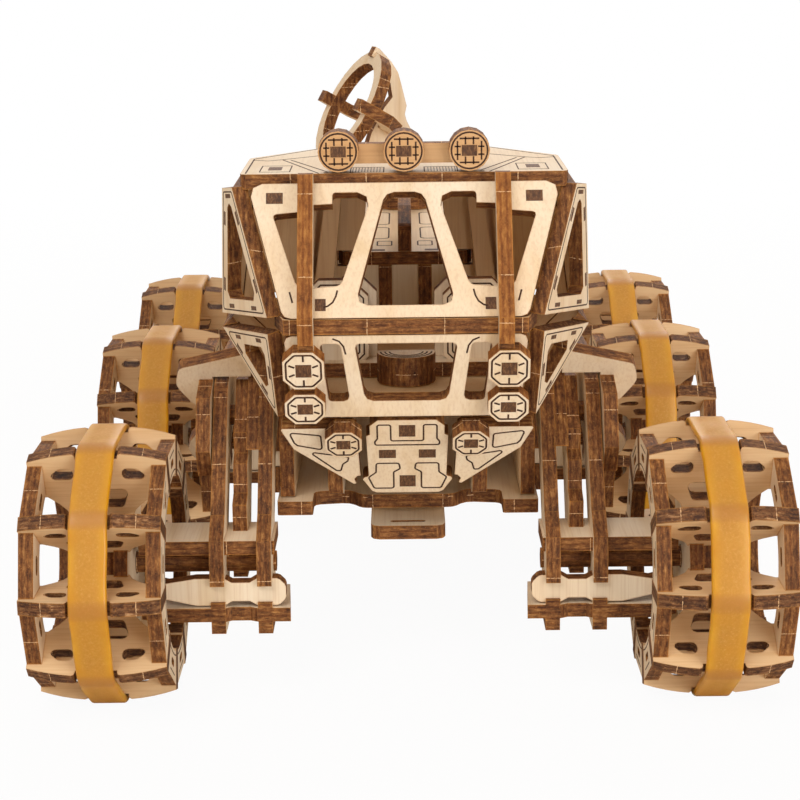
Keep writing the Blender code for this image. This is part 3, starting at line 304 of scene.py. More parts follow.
def amber_rubber():
    """Natural rubber band: translucent amber at its sides, with a dusty brown bloom along its middle."""
    made, tree, shader = blank("natural_rubber_band")
    place = add(tree, "ShaderNodeTexCoord").outputs["Object"]
    speck = add(tree, "ShaderNodeTexNoise",
                {"Vector": place, "Scale": pattern_scale(RUBBER_SPECK), "Detail": 3.0, "Roughness": 0.8})
    cloud = add(tree, "ShaderNodeTexNoise",
                {"Vector": place, "Scale": pattern_scale(RUBBER_CLOUD), "Detail": 3.0})
    parts = add(tree, "ShaderNodeSeparateXYZ", {0: place})
    sideways = add(tree, "ShaderNodeMath", {0: parts.outputs["X"]}, operation="ABSOLUTE")
    off = add(tree, "ShaderNodeMath", {0: sideways.outputs[0], 1: TRACK_HALF * MM}, operation="SUBTRACT")
    distance = add(tree, "ShaderNodeMath", {0: off.outputs[0]}, operation="ABSOLUTE")
    middle = add(tree, "ShaderNodeMapRange", {"Value": distance.outputs[0], "From Min": BLOOM_FULL * MM,
                                              "From Max": BLOOM_END * MM, "To Min": 1.0, "To Max": 0.0},
                 interpolation_type="SMOOTHSTEP")
    patchy = add(tree, "ShaderNodeMapRange", {"Value": cloud.outputs["Fac"], "From Min": 0.3,
                                              "From Max": 0.7, "To Min": 0.55, "To Max": 1.0})
    dust = add(tree, "ShaderNodeMath", {0: middle.outputs["Result"], 1: patchy.outputs["Result"]},
               operation="MULTIPLY")
    amber = add(tree, "ShaderNodeValToRGB", {0: cloud.outputs["Fac"]},
                [(0.30, "#D09008"), (0.55, "#D89B12"), (0.80, "#E2AA22")]).outputs["Color"]
    bloom = add(tree, "ShaderNodeValToRGB", {0: speck.outputs["Fac"]},
                [(0.35, "#BC8228"), (0.55, "#C48B32"), (0.80, "#D4A55C")]).outputs["Color"]
    both = add(tree, "ShaderNodeMix", {"Factor": dust.outputs[0], 6: amber, 7: bloom}, data_type="RGBA")
    # the planks show through where the band lies on them
    plank = add(tree, "ShaderNodeAttribute", attribute_name="over_plank")
    veil = add(tree, "ShaderNodeMath", {0: plank.outputs["Fac"], 1: 0.5}, operation="MULTIPLY")
    veiled = add(tree, "ShaderNodeMix",
                 {"Factor": veil.outputs[0], 6: both.outputs[2], 7: linear("#AC7030")}, data_type="RGBA")
    rough = add(tree, "ShaderNodeMapRange", {"Value": dust.outputs[0], "To Min": 0.34, "To Max": 0.66})
    tree.links.new(rough.outputs["Result"], shader.inputs["Roughness"])
    shader.inputs["IOR"].default_value = 1.52
    shader.inputs["Subsurface Weight"].default_value = 0.30
    shader.inputs["Subsurface Radius"].default_value = (1.0, 0.45, 0.08)
    shader.inputs["Subsurface Scale"].default_value = 1.5 * MM
    coat(tree, shader, veiled.outputs[2], speck.outputs["Fac"], 0.12, 0.2)
    return made


FACE_ALONG = birch_face("birch_face_lengthwise", "Y")
FACE_UPRIGHT = birch_face("birch_face_upright", "Z")
# painted shade: the wheels' planks are tinted warmer, for the warm shade among them
FACE_ACROSS = birch_face("birch_face_across", "X", "#F8E7CE")
# painted shade: the cab's inner faces are tinted darker and warmer
FACE_INSIDE_SHADE = birch_face("birch_face_inside_the_cab", "Z", "#FFF1DA")
# painted shade: the lamp bar's faces are tinted darker and browner
FACE_SHADE_TINTED = birch_face("birch_face_smoked", "X", "#E2C4A0")
BURN = engraved_burn()
TAB = tab_end()
RUBBER = amber_rubber()
EDGE_OF_SLAT = charred_edge("charred_edge_of_slat", pitch=25.0, char=WHEEL_CHAR)
EDGE_AMBER = charred_edge("amber_edge_of_lamp_post", (1.0, 0.0, 0.0), pitch=23.0, char=AMBER_CHAR)


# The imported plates: pale faces and burnt edges

def up_slope(foot, head):
    """Unit direction from a front panel's foot to its head, and its length."""
    size = hypot(head[0] - foot[0], head[1] - foot[1])
    return (head[0] - foot[0]) / size, (head[1] - foot[1]) / size, size


def front_normal(foot, head):
    run, rise, _ = up_slope(foot, head)
    return (0.0, -rise, run)


PLATE_NORMALS = {
    "side": (1.0, 0.0, 0.0),
    "upright": (0.0, 1.0, 0.0),
    "level": (0.0, 0.0, 1.0),
    "windscreen": front_normal(RIDGE, BROW),
    "lower_front": front_normal(CHIN_TOP, RIDGE),
    "chin": front_normal(NOSE_FOOT, NOSE_TOP),
}
EDGES = {key: charred_edge("charred_edge_" + key, normal) for key, normal in PLATE_NORMALS.items()}
FINISHES = [FACE_ALONG, FACE_UPRIGHT, FACE_INSIDE_SHADE, FACE_SHADE_TINTED, EDGE_AMBER] + list(EDGES.values())
CAB_MIDDLE = (0.0, -100.0, 115.0)
FLAT = 0.9995               # least cosine between the normals of one flat side
EDGE_WIDEST = 5.8 * MM      # a face narrower than this is the edge of a plate
LEAN_EDGE_WIDEST = 8.1 * MM     # on the bogies' leaning plates
LAMP_BAR_WIDEST = 5.0 * MM
STACKED = {"bogie": 8.0 * MM, "rocker": 9.0 * MM}   # widths of edges that two plates share
STACKED_SLACK = 0.02 * MM


def narrowest(points, normal):
    """Least width of flat points, and the direction in which it is measured."""
    helper = Vector((0, 0, 1)) if abs(normal.z) < 0.9 else Vector((0, 1, 0))
    a = normal.cross(helper).normalized()
    b = normal.cross(a)
    best = None
    for k in range(36):
        turn = radians(5 * k)
        way = a * cos(turn) + b * sin(turn)
        spread = [p.dot(way) for p in points]
        width = max(spread) - min(spread)
        if best is None or width < best[0]:
            best = (width, way)
    return best


def is_edge(name, width, normal):
    kind = name.split("_")[0]
    widest = LAMP_BAR_WIDEST if name == "lamp_bar" else EDGE_WIDEST
    if kind == "bogie" and max(abs(c) for c in normal) < 0.99:
        widest = LEAN_EDGE_WIDEST
    return width < widest or abs(width - STACKED.get(kind, 0.0)) < STACKED_SLACK


def finish_of(name, points, normal):
    """The finish of one flat side: burnt where it is a plate's edge, pale elsewhere, with painted shade on
    the lamp bar and inside the cab.
    """
    width, way = narrowest(points, normal)
    if is_edge(name, width, normal):
        key = max(PLATE_NORMALS, key=lambda k: abs(way.dot(Vector(PLATE_NORMALS[k]))))
        return EDGE_AMBER if name.startswith("lamp_post") and key == "side" else EDGES[key]
    # painted shade on the lamp bar's faces
    if name == "lamp_bar":
        return FACE_SHADE_TINTED
    # painted shade on a cab plate's inner faces
    if name.startswith("cab_") and normal.dot(Vector(CAB_MIDDLE) * MM - points[0]) > 0:
        return FACE_INSIDE_SHADE
    return FACE_ALONG if abs(normal.z) > 0.8 else FACE_UPRIGHT


def flat_sides(bm):
    """Face numbers by flat side. The triangles are loose, so their corners' places tell which adjoin."""
    bm.faces.ensure_lookup_table()
    sharing = {}
    for face in bm.faces:
        corners = [tuple(round(c * 1e6) for c in vertex.co) for vertex in face.verts]
        for i, corner in enumerate(corners):
            sharing.setdefault(frozenset((corner, corners[i - 1])), []).append(face.index)
    beside = {}
    for faces in sharing.values():
        for number in faces:
            beside.setdefault(number, set()).update(faces)
    sides, done = [], set()
    for start in bm.faces:
        if start.index in done:
            continue
        side, wait = [], [start.index]
        done.add(start.index)
        while wait:
            here = wait.pop()
            side.append(here)
            for other in beside[here]:
                if other not in done and bm.faces[other].normal.dot(start.normal) > FLAT:
                    done.add(other)
                    wait.append(other)
        sides.append(side)
    return sides


def dress(thing, name):
    """Gives each flat side of a packed plate its finish."""
    mesh = thing.data
    mesh.materials.clear()
    for finish in FINISHES:
        mesh.materials.append(finish)
    bm = bmesh.new()
    bm.from_mesh(mesh)
    for side in flat_sides(bm):
        points = [vertex.co for number in side for vertex in bm.faces[number].verts]
        index = FINISHES.index(finish_of(name, points, bm.faces[side[0]].normal))
        for number in side:
            mesh.polygons[number].material_index = index
    bm.free()
    mesh.update()


for name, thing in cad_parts.items():
    if not name.startswith(("wheel_", "band_")):
        dress(thing, name)


# Plates in mesh code, with their place on the plate kept as an attribute

def plane(origin, across, up):
    """Matrix from a plate's own (a, b, outward) in millimetres to the model in metres."""
    a = Vector(across).normalized()
    n = a.cross(Vector(up)).normalized()
    b = n.cross(a)
    return Matrix.Scale(MM, 4) @ Matrix.Translation(Vector(origin)) @ Matrix((a, b, n)).transposed().to_4x4()


def front_plane(foot, head):
    run, rise, _ = up_slope(foot, head)
    return plane((0, foot[0], foot[1]), (1, 0, 0), (0, run, rise))


def panel_plane(points):
    """Plane of a panel from its outer corners, anticlockwise from outside; the first corner is (0, 0)."""
    p = [Vector(q) for q in points]
    across = (p[1] - p[0]).normalized()
    normal = across.cross(p[-1] - p[0]).normalized()
    return plane(p[0], across, normal.cross(across))


def flat_on(place, point):
    """A model point in millimetres as (a, b) on a plane."""
    here = place.inverted() @ (Vector(point) * MM)
    return here.x, here.y


def rounded(corners, steps=3):
    """Outline from corners (a, b, radius); a corner with a radius becomes an arc."""
    out = []
    for i, (a, b, radius) in enumerate(corners):
        here = Vector((a, b))
        if radius <= 0:
            out.append((a, b))
            continue
        back = (Vector(corners[i - 1][:2]) - here).normalized()
        ahead = (Vector(corners[(i + 1) % len(corners)][:2]) - here).normalized()
        half = back.angle(ahead) / 2
        centre = here + (back + ahead).normalized() * (radius / sin(half))
        start = here + back * (radius / tan(half)) - centre
        end = here + ahead * (radius / tan(half)) - centre
        first = atan2(start.y, start.x)
        sweep = (atan2(end.y, end.x) - first + pi) % (2 * pi) - pi
        for k in range(steps + 1):
            turn = first + sweep * k / steps
            out.append((centre.x + radius * cos(turn), centre.y + radius * sin(turn)))
    return out


def soft(points, radius=1.0, steps=3):
    return rounded([(a, b, radius) for a, b in points], steps)


def circle(a, b, radius, sides=24, phase=0.0):
    return [(a + radius * cos(phase + 2 * pi * k / sides),
             b + radius * sin(phase + 2 * pi * k / sides)) for k in range(sides)]


def octagon(a, b, wide, tall, cut):
    a0, a1, b0, b1 = a - wide / 2, a + wide / 2, b - tall / 2, b + tall / 2
    return [(a0 + cut, b0), (a1 - cut, b0), (a1, b0 + cut), (a1, b1 - cut),
            (a1 - cut, b1), (a0 + cut, b1), (a0, b1 - cut), (a0, b0 + cut)]


def inset(flat, margin):
    """The same outline pulled in by a margin on every side."""
    out = []
    for i in range(len(flat)):
        here = Vector(flat[i])
        back = (here - Vector(flat[i - 1])).normalized()
        ahead = (Vector(flat[(i + 1) % len(flat)]) - here).normalized()
        n1 = Vector((-back.y, back.x))
        n2 = Vector((-ahead.y, ahead.x))
        out.append(tuple(here + (n1 + n2) * (margin / max(1 + n1.dot(n2), 0.2))))
    return out


def mirrored(outline):
    return [(-a, b) for a, b in reversed(outline)]


def board(outer, holes=(), low=0.0, high=SHEET):
    """A plate with burnt edges in its own plane, in millimetres."""
    bm = bmesh.new()
    for loop in [outer, *holes]:
        ring = [bm.verts.new((a, b, low)) for a, b in loop]
        for i, corner in enumerate(ring):
            bm.edges.new((ring[i - 1], corner))
    bmesh.ops.triangle_fill(bm, edges=bm.edges[:], use_beauty=True)
    walls = bmesh.ops.extrude_face_region(bm, geom=bm.faces[:])
    lifted = [g for g in walls["geom"] if isinstance(g, bmesh.types.BMVert)]
    bmesh.ops.translate(bm, verts=lifted, vec=(0, 0, high - low))
    bmesh.ops.recalc_face_normals(bm, faces=bm.faces[:])
    mesh = bpy.data.meshes.new("board")
    bm.to_mesh(mesh)
    bm.free()
    edge = mesh.attributes.new("edge", "BOOLEAN", "FACE")
    edge.data.foreach_set("value", [abs(p.normal.z) < 0.5 for p in mesh.polygons])
    spots = mesh.attributes.new("plate", "FLOAT_VECTOR", "POINT")
    spots.data.foreach_set("vector", [c * MM for v in mesh.vertices for c in v.co])
    return mesh


def placed(mesh, place):
    mesh.transform(place)
    return mesh


def dressed(mesh, pale, burnt):
    """A board with pale faces and burnt edges."""
    for finish in (pale, burnt):
        mesh.materials.append(finish)
    for face, edge in zip(mesh.polygons, mesh.attributes["edge"].data):
        face.material_index = int(edge.value)
    return mesh


def joined(meshes, name):
    """One mesh from several, with their attributes."""
    things = []
    for mesh in meshes:
        thing = bpy.data.objects.new(name, mesh)
        scene.collection.objects.link(thing)
        things.append(thing)
    with bpy.context.temp_override(active_object=things[0], object=things[0], selected_objects=things,
                                   selected_editable_objects=things):
        bpy.ops.object.join()
    mesh = things[0].data
    bpy.data.objects.remove(things[0])
    mesh.name = name
    return mesh


def show(mesh, name, body, replaces=()):
    """A finished piece: it rides on a body and stands for the nodes named."""
    mesh.name = name
    thing = bpy.data.objects.new(name, mesh)
    scene.collection.objects.link(thing)
    if replaces:
        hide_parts(*replaces)
    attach(thing, body)
    return thing


def flipped(mesh):
    """The same mesh on the model's other side."""
    copy = mesh.copy()
    copy.transform(Matrix.Scale(-1, 4, (1, 0, 0)))
    copy.flip_normals()
    return copy


# Geometry Nodes

def new_tree(name, sizes):
    """A node tree with a Geometry input, the sizes given as named inputs and a Geometry output."""
    tree = bpy.data.node_groups.new(name, "GeometryNodeTree")
    sockets = tree.interface
    sockets.new_socket("Geometry", in_out="INPUT", socket_type="NodeSocketGeometry")
    for label, kind in sizes.items():
        sockets.new_socket(label, in_out="INPUT", socket_type="NodeSocket" + kind)
    sockets.new_socket("Geometry", in_out="OUTPUT", socket_type="NodeSocketGeometry")
    start = tree.nodes.new("NodeGroupInput")
    end = tree.nodes.new("NodeGroupOutput")
    return tree, start.outputs, end.inputs


def grown(tree, mesh, **sizes):
    """The plain mesh that a tree makes of another one; its inputs are set by their identifiers."""
    base = bpy.data.objects.new("base", mesh)
    scene.collection.objects.link(base)
    modifier = base.modifiers.new("shape", "NODES")
    modifier.node_group = tree
    for item in tree.interface.items_tree:
        label = item.name.replace(" ", "_").lower()
        if item.in_out == "INPUT" and label in sizes:
            modifier[item.identifier] = sizes[label]
    bpy.context.view_layer.update()
    graph = bpy.context.evaluated_depsgraph_get()
    result = bpy.data.meshes.new_from_object(base.evaluated_get(graph), depsgraph=graph)
    bpy.data.objects.remove(base)
    for i in reversed(range(len(result.materials))):
        if result.materials[i] is None:
            result.materials.pop(index=i)
    return result


def turned_copies_tree():
    """Copies of one plate turned about the axle, each with its pale faces and burnt edges."""
    sizes = {"Copies": "Int", "First Turn": "Float", "Step": "Float"}
    finishes = {"Face Finish": "Material", "Edge Finish": "Material"}
    tree, given, out = new_tree("plates_round_an_axle", {**sizes, **finishes})
    points = add(tree, "GeometryNodeMeshLine", {"Count": given["Copies"], "Offset": (0, 0, 0)})
    number = add(tree, "GeometryNodeInputIndex")
    turn = add(tree, "ShaderNodeMath", {0: number.outputs[0], 1: given["Step"], 2: given["First Turn"]},
               operation="MULTIPLY_ADD")
    axis = add(tree, "ShaderNodeCombineXYZ", {"X": turn.outputs[0]})
    copies = add(tree, "GeometryNodeInstanceOnPoints",
                 {"Points": points.outputs[0], "Instance": given["Geometry"], "Rotation": axis.outputs[0]})
    real = add(tree, "GeometryNodeRealizeInstances", {0: copies.outputs[0]})
    pale = add(tree, "GeometryNodeSetMaterial",
               {"Geometry": real.outputs[0], "Material": given["Face Finish"]})
    burnt = add(tree, "GeometryNodeInputNamedAttribute", {"Name": "edge"}, data_type="BOOLEAN")
    dark = add(tree, "GeometryNodeSetMaterial", {"Geometry": pale.outputs[0], "Selection": burnt.outputs[0],
                                                 "Material": given["Edge Finish"]})
    tree.links.new(dark.outputs[0], out[0])
    return tree


def engraver_tree():
    """Engraved lines: a flat strip along every line of a drawing in the plate's plane."""
    tree, given, out = new_tree("engraved_lines",
                                {"Width": "Float", "Height": "Float", "Finish": "Material"})
    paths = add(tree, "GeometryNodeMeshToCurve", {0: given["Geometry"]})
    level = add(tree, "GeometryNodeSetCurveNormal", {0: paths.outputs[0]}, mode="Z_UP")
    section = add(tree, "GeometryNodeCurvePrimitiveQuadrilateral",
                  {"Width": given["Width"], "Height": given["Height"]})
    strip = add(tree, "GeometryNodeCurveToMesh",
                {"Curve": level.outputs[0], "Profile Curve": section.outputs[0], "Fill Caps": True})
    real = add(tree, "GeometryNodeRealizeInstances", {0: strip.outputs[0]})
    burnt = add(tree, "GeometryNodeSetMaterial", {"Geometry": real.outputs[0], "Material": given["Finish"]})
    tree.links.new(burnt.outputs[0], out[0])
    return tree


def rubber_band_tree():
    """A flat rubber band with rounded sides along a closed path in its plane, its sides a little wavy."""
    tree, given, out = new_tree("rubber_band", {
        "Thickness": "Float", "Width": "Float", "Rounding": "Float", "Wave": "Float", "Finish": "Material"})
    path = add(tree, "GeometryNodeMeshToCurve", {0: given["Geometry"]})
    level = add(tree, "GeometryNodeSetCurveNormal", {0: path.outputs[0]}, mode="Z_UP")
    section = add(tree, "GeometryNodeCurvePrimitiveQuadrilateral",
                  {"Width": given["Thickness"], "Height": given["Width"]})
    smooth = add(tree, "GeometryNodeFilletCurve",
                 {"Curve": section.outputs[0], "Radius": given["Rounding"], "Count": 3}, mode="POLY")
    swept = add(tree, "GeometryNodeCurveToMesh",
                {"Curve": level.outputs[0], "Profile Curve": smooth.outputs[0]})
    place = add(tree, "GeometryNodeInputPosition")
    sway = add(tree, "ShaderNodeTexNoise", {"Vector": place.outputs[0], "Scale": 0.09, "Detail": 1.0})
    centred = add(tree, "ShaderNodeMath", {0: sway.outputs["Fac"], 1: 0.5}, operation="SUBTRACT")
    shift = add(tree, "ShaderNodeMath", {0: centred.outputs[0], 1: given["Wave"]}, operation="MULTIPLY")
    aside = add(tree, "ShaderNodeCombineXYZ", {"Z": shift.outputs[0]})
    moved = add(tree, "GeometryNodeSetPosition", {"Geometry": swept.outputs[0], "Offset": aside.outputs[0]})
    real = add(tree, "GeometryNodeRealizeInstances", {0: moved.outputs[0]})
    coated = add(tree, "GeometryNodeSetMaterial", {"Geometry": real.outputs[0], "Material": given["Finish"]})
    tree.links.new(coated.outputs[0], out[0])
    return tree


TURNED = turned_copies_tree()
ENGRAVER = engraver_tree()
BAND = rubber_band_tree()


def drawing(closed=(), strokes=()):
    """A mesh of edges: closed outlines and open strokes of (a, b) points."""
    points, edges = [], []
    for loops, shut in ((closed, True), (strokes, False)):
        for loop in loops:
            first = len(points)
            points += [(a, b, 0.0) for a, b in loop]
            edges += [(first + i, first + i + 1) for i in range(len(loop) - 1)]
            if shut:
                edges.append((first + len(loop) - 1, first))
    mesh = bpy.data.meshes.new("drawing")
    mesh.from_pydata(points, edges, [])
    return mesh


def engraving(place, closed=(), strokes=(), width=ENGRAVED, proud=PROUD):
    return placed(grown(ENGRAVER, drawing(closed, strokes), width=width, height=2 * proud, finish=BURN),
                  place)


def inlay(outline, place, proud=PROUD):
    """A tab's end that stands a little out of its plate."""
    mesh = board(outline, low=-0.3, high=proud)
    mesh.materials.append(TAB)
    return placed(mesh, place)


def raised(place, height):
    """The same plane, a height further out."""
    return place @ Matrix.Translation((0, 0, height))


# Wheels

ACROSS_AXLE = plane((0, 0, 0), (0, 1, 0), (0, 0, 1))
HUB_DISC = 3.8
# where each disc of the hub starts, and its radius
HUB_STACK = ((-7.7, 18.0), (-3.8, 15.6), (0.1, 15.6), (3.9, 18.0))
ARCH_STEPS = 4
SHOULDER = 0.9              # from the band's notch to a plank's arch
ARCH_FALL = 0.9             # the even part of the arch's fall
RIM_SET_IN = 0.06           # from the planks' ends to the face of an end ring
BAND_BEND = 9.0             # radius of the band's middle line over a plank
WAVE_ROOM = 0.5             # left in the band's width for its wavy sides
VEIL_HALF = 3.2             # half the width over which a plank shows through the band
VEIL_FADE = 1.6


def slat_board():
    """One plank of a wheel: arched outer edge with the band's notch, two eyes beside it, an arched foot."""
    arch = []
    for k in range(ARCH_STEPS + 1):
        t = k / ARCH_STEPS
        a = NOTCH_HALF + SHOULDER + (SLAT_HALF - NOTCH_HALF - SHOULDER) * t
        arch.append((a, SLAT_CREST - ARCH_FALL * t - (SLAT_CREST - SLAT_END - ARCH_FALL) * t * t))
    right = [(NOTCH_HALF, NOTCH_RADIUS), (NOTCH_HALF, SLAT_CREST - 0.9),
             (NOTCH_HALF + 0.3, SLAT_CREST - 0.2)] + arch
    right += [(SLAT_HALF, SLAT_FOOT), (SLAT_HALF - SHEET - 0.6, SLAT_FOOT), (HUB_HALF + 3.6, 21.6),
              (HUB_HALF + 1.6, 19.4), (HUB_HALF + 0.3, HUB_RADIUS - 2.0)]
    plank = right + mirrored(right)
    eye = rounded([(6.6, 29.6, 1.5), (12.4, 29.6, 1.6), (12.9, 31.0, 1.2), (10.6, 33.0, 1.6),
                   (6.6, 33.2, 1.4)], 3)
    window = rounded([(-6.2, 20.4, 1.5), (6.2, 20.4, 1.5), (8.2, 26.4, 1.5), (-8.2, 26.4, 1.5)], 3)
    holes = [eye, mirrored(eye), window]
    return board(plank[::-1], holes, -SHEET / 2, SHEET / 2)


def turned_by(points, turn):
    return [(a * cos(turn) - b * sin(turn), a * sin(turn) + b * cos(turn)) for a, b in points]


def wheel_plate(outline, holes, low, high):
    """An end ring or a hub's disc, across the axle."""
    plate = placed(board(outline, holes, low, high), ACROSS_AXLE)
    return grown(TURNED, plate, copies=1, first_turn=0.0, step=0.0, face_finish=FACE_UPRIGHT,
                 edge_finish=EDGES["side"])


def wheel_mesh():
    slat = placed(slat_board(), plane((0, 0, 0), (1, 0, 0), (0, 0, 1)))
    step = 2 * pi / SLATS
    plates = [grown(TURNED, slat, copies=SLATS, first_turn=step / 2, step=step, face_finish=FACE_ACROSS,
                    edge_finish=EDGE_OF_SLAT)]
    rim = circle(0, 0, RIM_CORNER, SLATS, pi / 2 + pi / SLATS)
    bean = rounded([(-3.4, 27.6, 0.9), (3.4, 27.6, 0.9), (2.2, 29.6, 0.8), (-2.2, 29.6, 0.8)], 2)
    holes = [circle(0, 0, RIM_HOLE, 48)] + [turned_by(bean, step * k) for k in range(SLATS)]
    for x0 in (-SLAT_HALF + RIM_SET_IN, SLAT_HALF - SHEET - RIM_SET_IN):
        plates.append(wheel_plate(rim, holes, x0, x0 + SHEET))
    for start, radius in HUB_STACK:
        plates.append(wheel_plate(circle(0, 0, radius, 32), [circle(0, 0, AXLE_HOLE, 16)], start,
                                  start + HUB_DISC))
    mark = [circle(0, 0, RIM_HOLE + 1.2, 48)]
    tick = [turned_by([(-4.6, 31.2), (4.6, 31.2)], step * k) for k in range(SLATS)]
    for x in (-SLAT_HALF + RIM_SET_IN, SLAT_HALF - RIM_SET_IN):
        plates.append(engraving(raised(ACROSS_AXLE, x), mark, tick, width=0.35, proud=0.035))
    return joined(plates, "slatted_wheel")


def band_path():
    """The band's middle line: straight between the planks, with a bend over each of them."""
    corners = circle(0, 0, BAND_RADIUS - BAND_THICK / 2 / cos(pi / SLATS), SLATS)
    path = []
    bends = rounded([(a, b, BAND_BEND) for a, b in corners], 6)
    for i, here in enumerate(bends):
        path.append(here)
        there = bends[(i + 1) % len(bends)]
        if hypot(there[0] - here[0], there[1] - here[1]) > 6.0:
            path += [tuple(Vector(here).lerp(Vector(there), t)) for t in (0.1, 0.25, 0.5, 0.75, 0.9)]
    return path


def band_mesh():
    path = drawing([band_path()])
    band = grown(BAND, path, thickness=BAND_THICK, width=BAND_WIDTH - WAVE_ROOM, rounding=0.8, wave=0.8,
                 finish=RUBBER)
    band.polygons.foreach_set("use_smooth", [True] * len(band.polygons))
    over = band.attributes.new("over_plank", "FLOAT", "POINT")
    for vertex, spot in zip(band.vertices, over.data):
        turn = (atan2(vertex.co.y, vertex.co.x) / (2 * pi / SLATS) + 0.5) % 1.0 - 0.5
        away = abs(turn) * 2 * pi / SLATS * BAND_RADIUS
        spot.value = max(0.0, min(1.0, (VEIL_HALF - away) / VEIL_FADE))
    return placed(band, ACROSS_AXLE)


wheel = wheel_mesh()
band = band_mesh()
for row, y in WHEEL_ROWS.items():
    for side, sign in (("right", 1), ("left", -1)):
        to_axle = Matrix.Translation(Vector((sign * TRACK_HALF, y, AXLE_Z)) * MM)
        spot = row + "_" + side
        show(placed(wheel.copy(), to_axle), "slatted_wheel_" + spot, spot + "_wheel", ["wheel_" + spot])
        show(placed(band.copy(), to_axle), "rubber_band_" + spot, spot + "_wheel", ["band_" + spot])


# The legs' front edges run on in front of the upper plate of their axle box

LEG_FRONT = [(-124.5, 33.9), (-125.5, 33.9), (-125.2, 41.0), (-123.9, 46.6), (-117.2, 52.0), (-117.0, 51.9),
             (-120.9, 46.5), (-122.55, 46.1), (-122.55, 42.0), (-124.52, 34.6)]
LEG_PLATES = (37.7, 50.7)
strips = []
for x in LEG_PLATES:
    strip = dressed(board(LEG_FRONT[::-1]), FACE_UPRIGHT, EDGES["side"])
    strip = placed(strip, plane((x, 0, 0), (0, 1, 0), (0, 0, 1)))
    strips += [strip, flipped(strip)]
show(joined(strips, "leg_fronts"), "leg_fronts", "body")


# The plate behind the cab's rear wall: it narrows the doorway, and the deck's nose comes through it

REAR_PLATE_BACK = -53.0
right_half = [(17.5, 98.0), (24.5, 98.0), (29.5, 106.0), (29.5, 112.0), (23.2, 141.8)]
doorway_half = [(9.2, 137.2), (10.9, 134.5), (12.8, 115.2), (20.3, 115.2), (20.3, 110.5), (17.5, 110.5)]
rear_outline = right_half + mirrored(right_half) + mirrored(doorway_half) + doorway_half
rear_plate = dressed(board(rear_outline, (), 0.0, SHEET - 0.05), FACE_UPRIGHT, EDGES["upright"])
rear_plate = placed(rear_plate, plane((0, REAR_PLATE_BACK, 0), (1, 0, 0), (0, 0, 1)))
# painted shade on the faces that look into the cab
rear_plate.materials.append(FACE_INSIDE_SHADE)
inside = len(rear_plate.materials) - 1
for face in rear_plate.polygons:
    if face.normal.y < -0.5:
        face.material_index = inside
show(rear_plate, "cab_rear_plate", "body")


# Engraved lines and the ends of tabs

DRAWN = []      # engraved lines of the body
TABS = []       # tab ends of the body


def on_both_sides(place, closed=(), strokes=(), tabs=(), width=ENGRAVED):
    """Lines and tab ends on a plate in the middle of the model, and the same mirrored."""
    other = [mirrored(line) for line in closed]
    DRAWN.append(engraving(place, list(closed) + other, list(strokes) + [mirrored(line) for line in strokes],
                           width))
    for tab in tabs:
        TABS.append(inlay(tab, place))
        TABS.append(inlay(mirrored(tab), place))


def in_pair(place, closed=(), strokes=(), tabs=(), width=ENGRAVED):
    """Lines and tab ends on a plate of the right side, and the same on the left one."""
    lines = engraving(place, closed, strokes, width)
    DRAWN.extend((lines, flipped(lines)))
    for tab in tabs:
        end = inlay(tab, place)
        TABS.extend((end, flipped(end)))


def box(a0, b0, a1, b1):
    return [(a0, b0), (a1, b0), (a1, b1), (a0, b1)]


TICK_TURNS = (90, 270, 22, 158, 202, 338)       # degrees round a front lamp's tab end


def lamp_face(place, a, b, wide, tall, cut):
    """An engraved octagon with six ticks round a square tab end."""
    ring = soft(inset(octagon(a, b, wide, tall, cut), 0.85), 1.0, 2)
    ticks = []
    for turn in TICK_TURNS:
        c, d = cos(radians(turn)), sin(radians(turn))
        ticks.append([(a + wide * 0.23 * c, b + tall * 0.25 * d),
                      (a + wide * 0.38 * c, b + tall * 0.40 * d)])
    tab = box(a - wide * 0.19, b - tall * 0.17, a + wide * 0.19, b + tall * 0.17)
    in_pair(place, [ring], ticks, [tab], width=0.5)


# the chin plate and its wings
chin = front_plane(NOSE_FOOT, NOSE_TOP)
chin_length = up_slope(NOSE_FOOT, NOSE_TOP)[2]
yoke = soft([(-8.0, 26.7), (-8.0, 21.4), (-8.7, 20.3), (-8.7, 19.0), (8.7, 19.0), (8.7, 20.3), (8.0, 21.4),
             (8.0, 26.7), (4.4, 26.7), (4.4, 20.6), (-4.4, 20.6), (-4.4, 26.7)], 0.6)
DRAWN.append(engraving(chin, [yoke]))
for low, high in ((22.2, 26.6), (2.4, 6.9)):
    TABS.append(inlay(box(-2.2, low, 2.2, high), chin))
on_both_sides(chin, [soft([(8.5, 11.8), (2.3, 11.8), (2.0, 9.6), (3.8, 8.3), (3.8, 1.8), (9.2, 1.8),
                           (10.7, 6.2), (8.6, 8.2)], 0.7)], tabs=[box(3.1, 13.9, 7.7, 17.1)])
wing_panel = soft([(23.2, 22.9), (31.6, 24.1), (30.4, 20.2), (29.6, 19.2), (23.0, 17.4)], 0.7)
wing_blade = soft([(15.9, 14.4), (16.2, 12.9), (17.6, 11.6), (18.2, 9.0), (19.4, 9.2), (26.6, 16.6)], 0.5)
in_pair(chin, [wing_panel, wing_blade], tabs=[[(16.6, 15.9), (20.6, 16.6), (20.9, 18.0), (17.0, 17.3)]])
lamp_face(raised(chin, SHEET), 17.0, 0.82 * chin_length, 9.8, 9.4, 2.6)

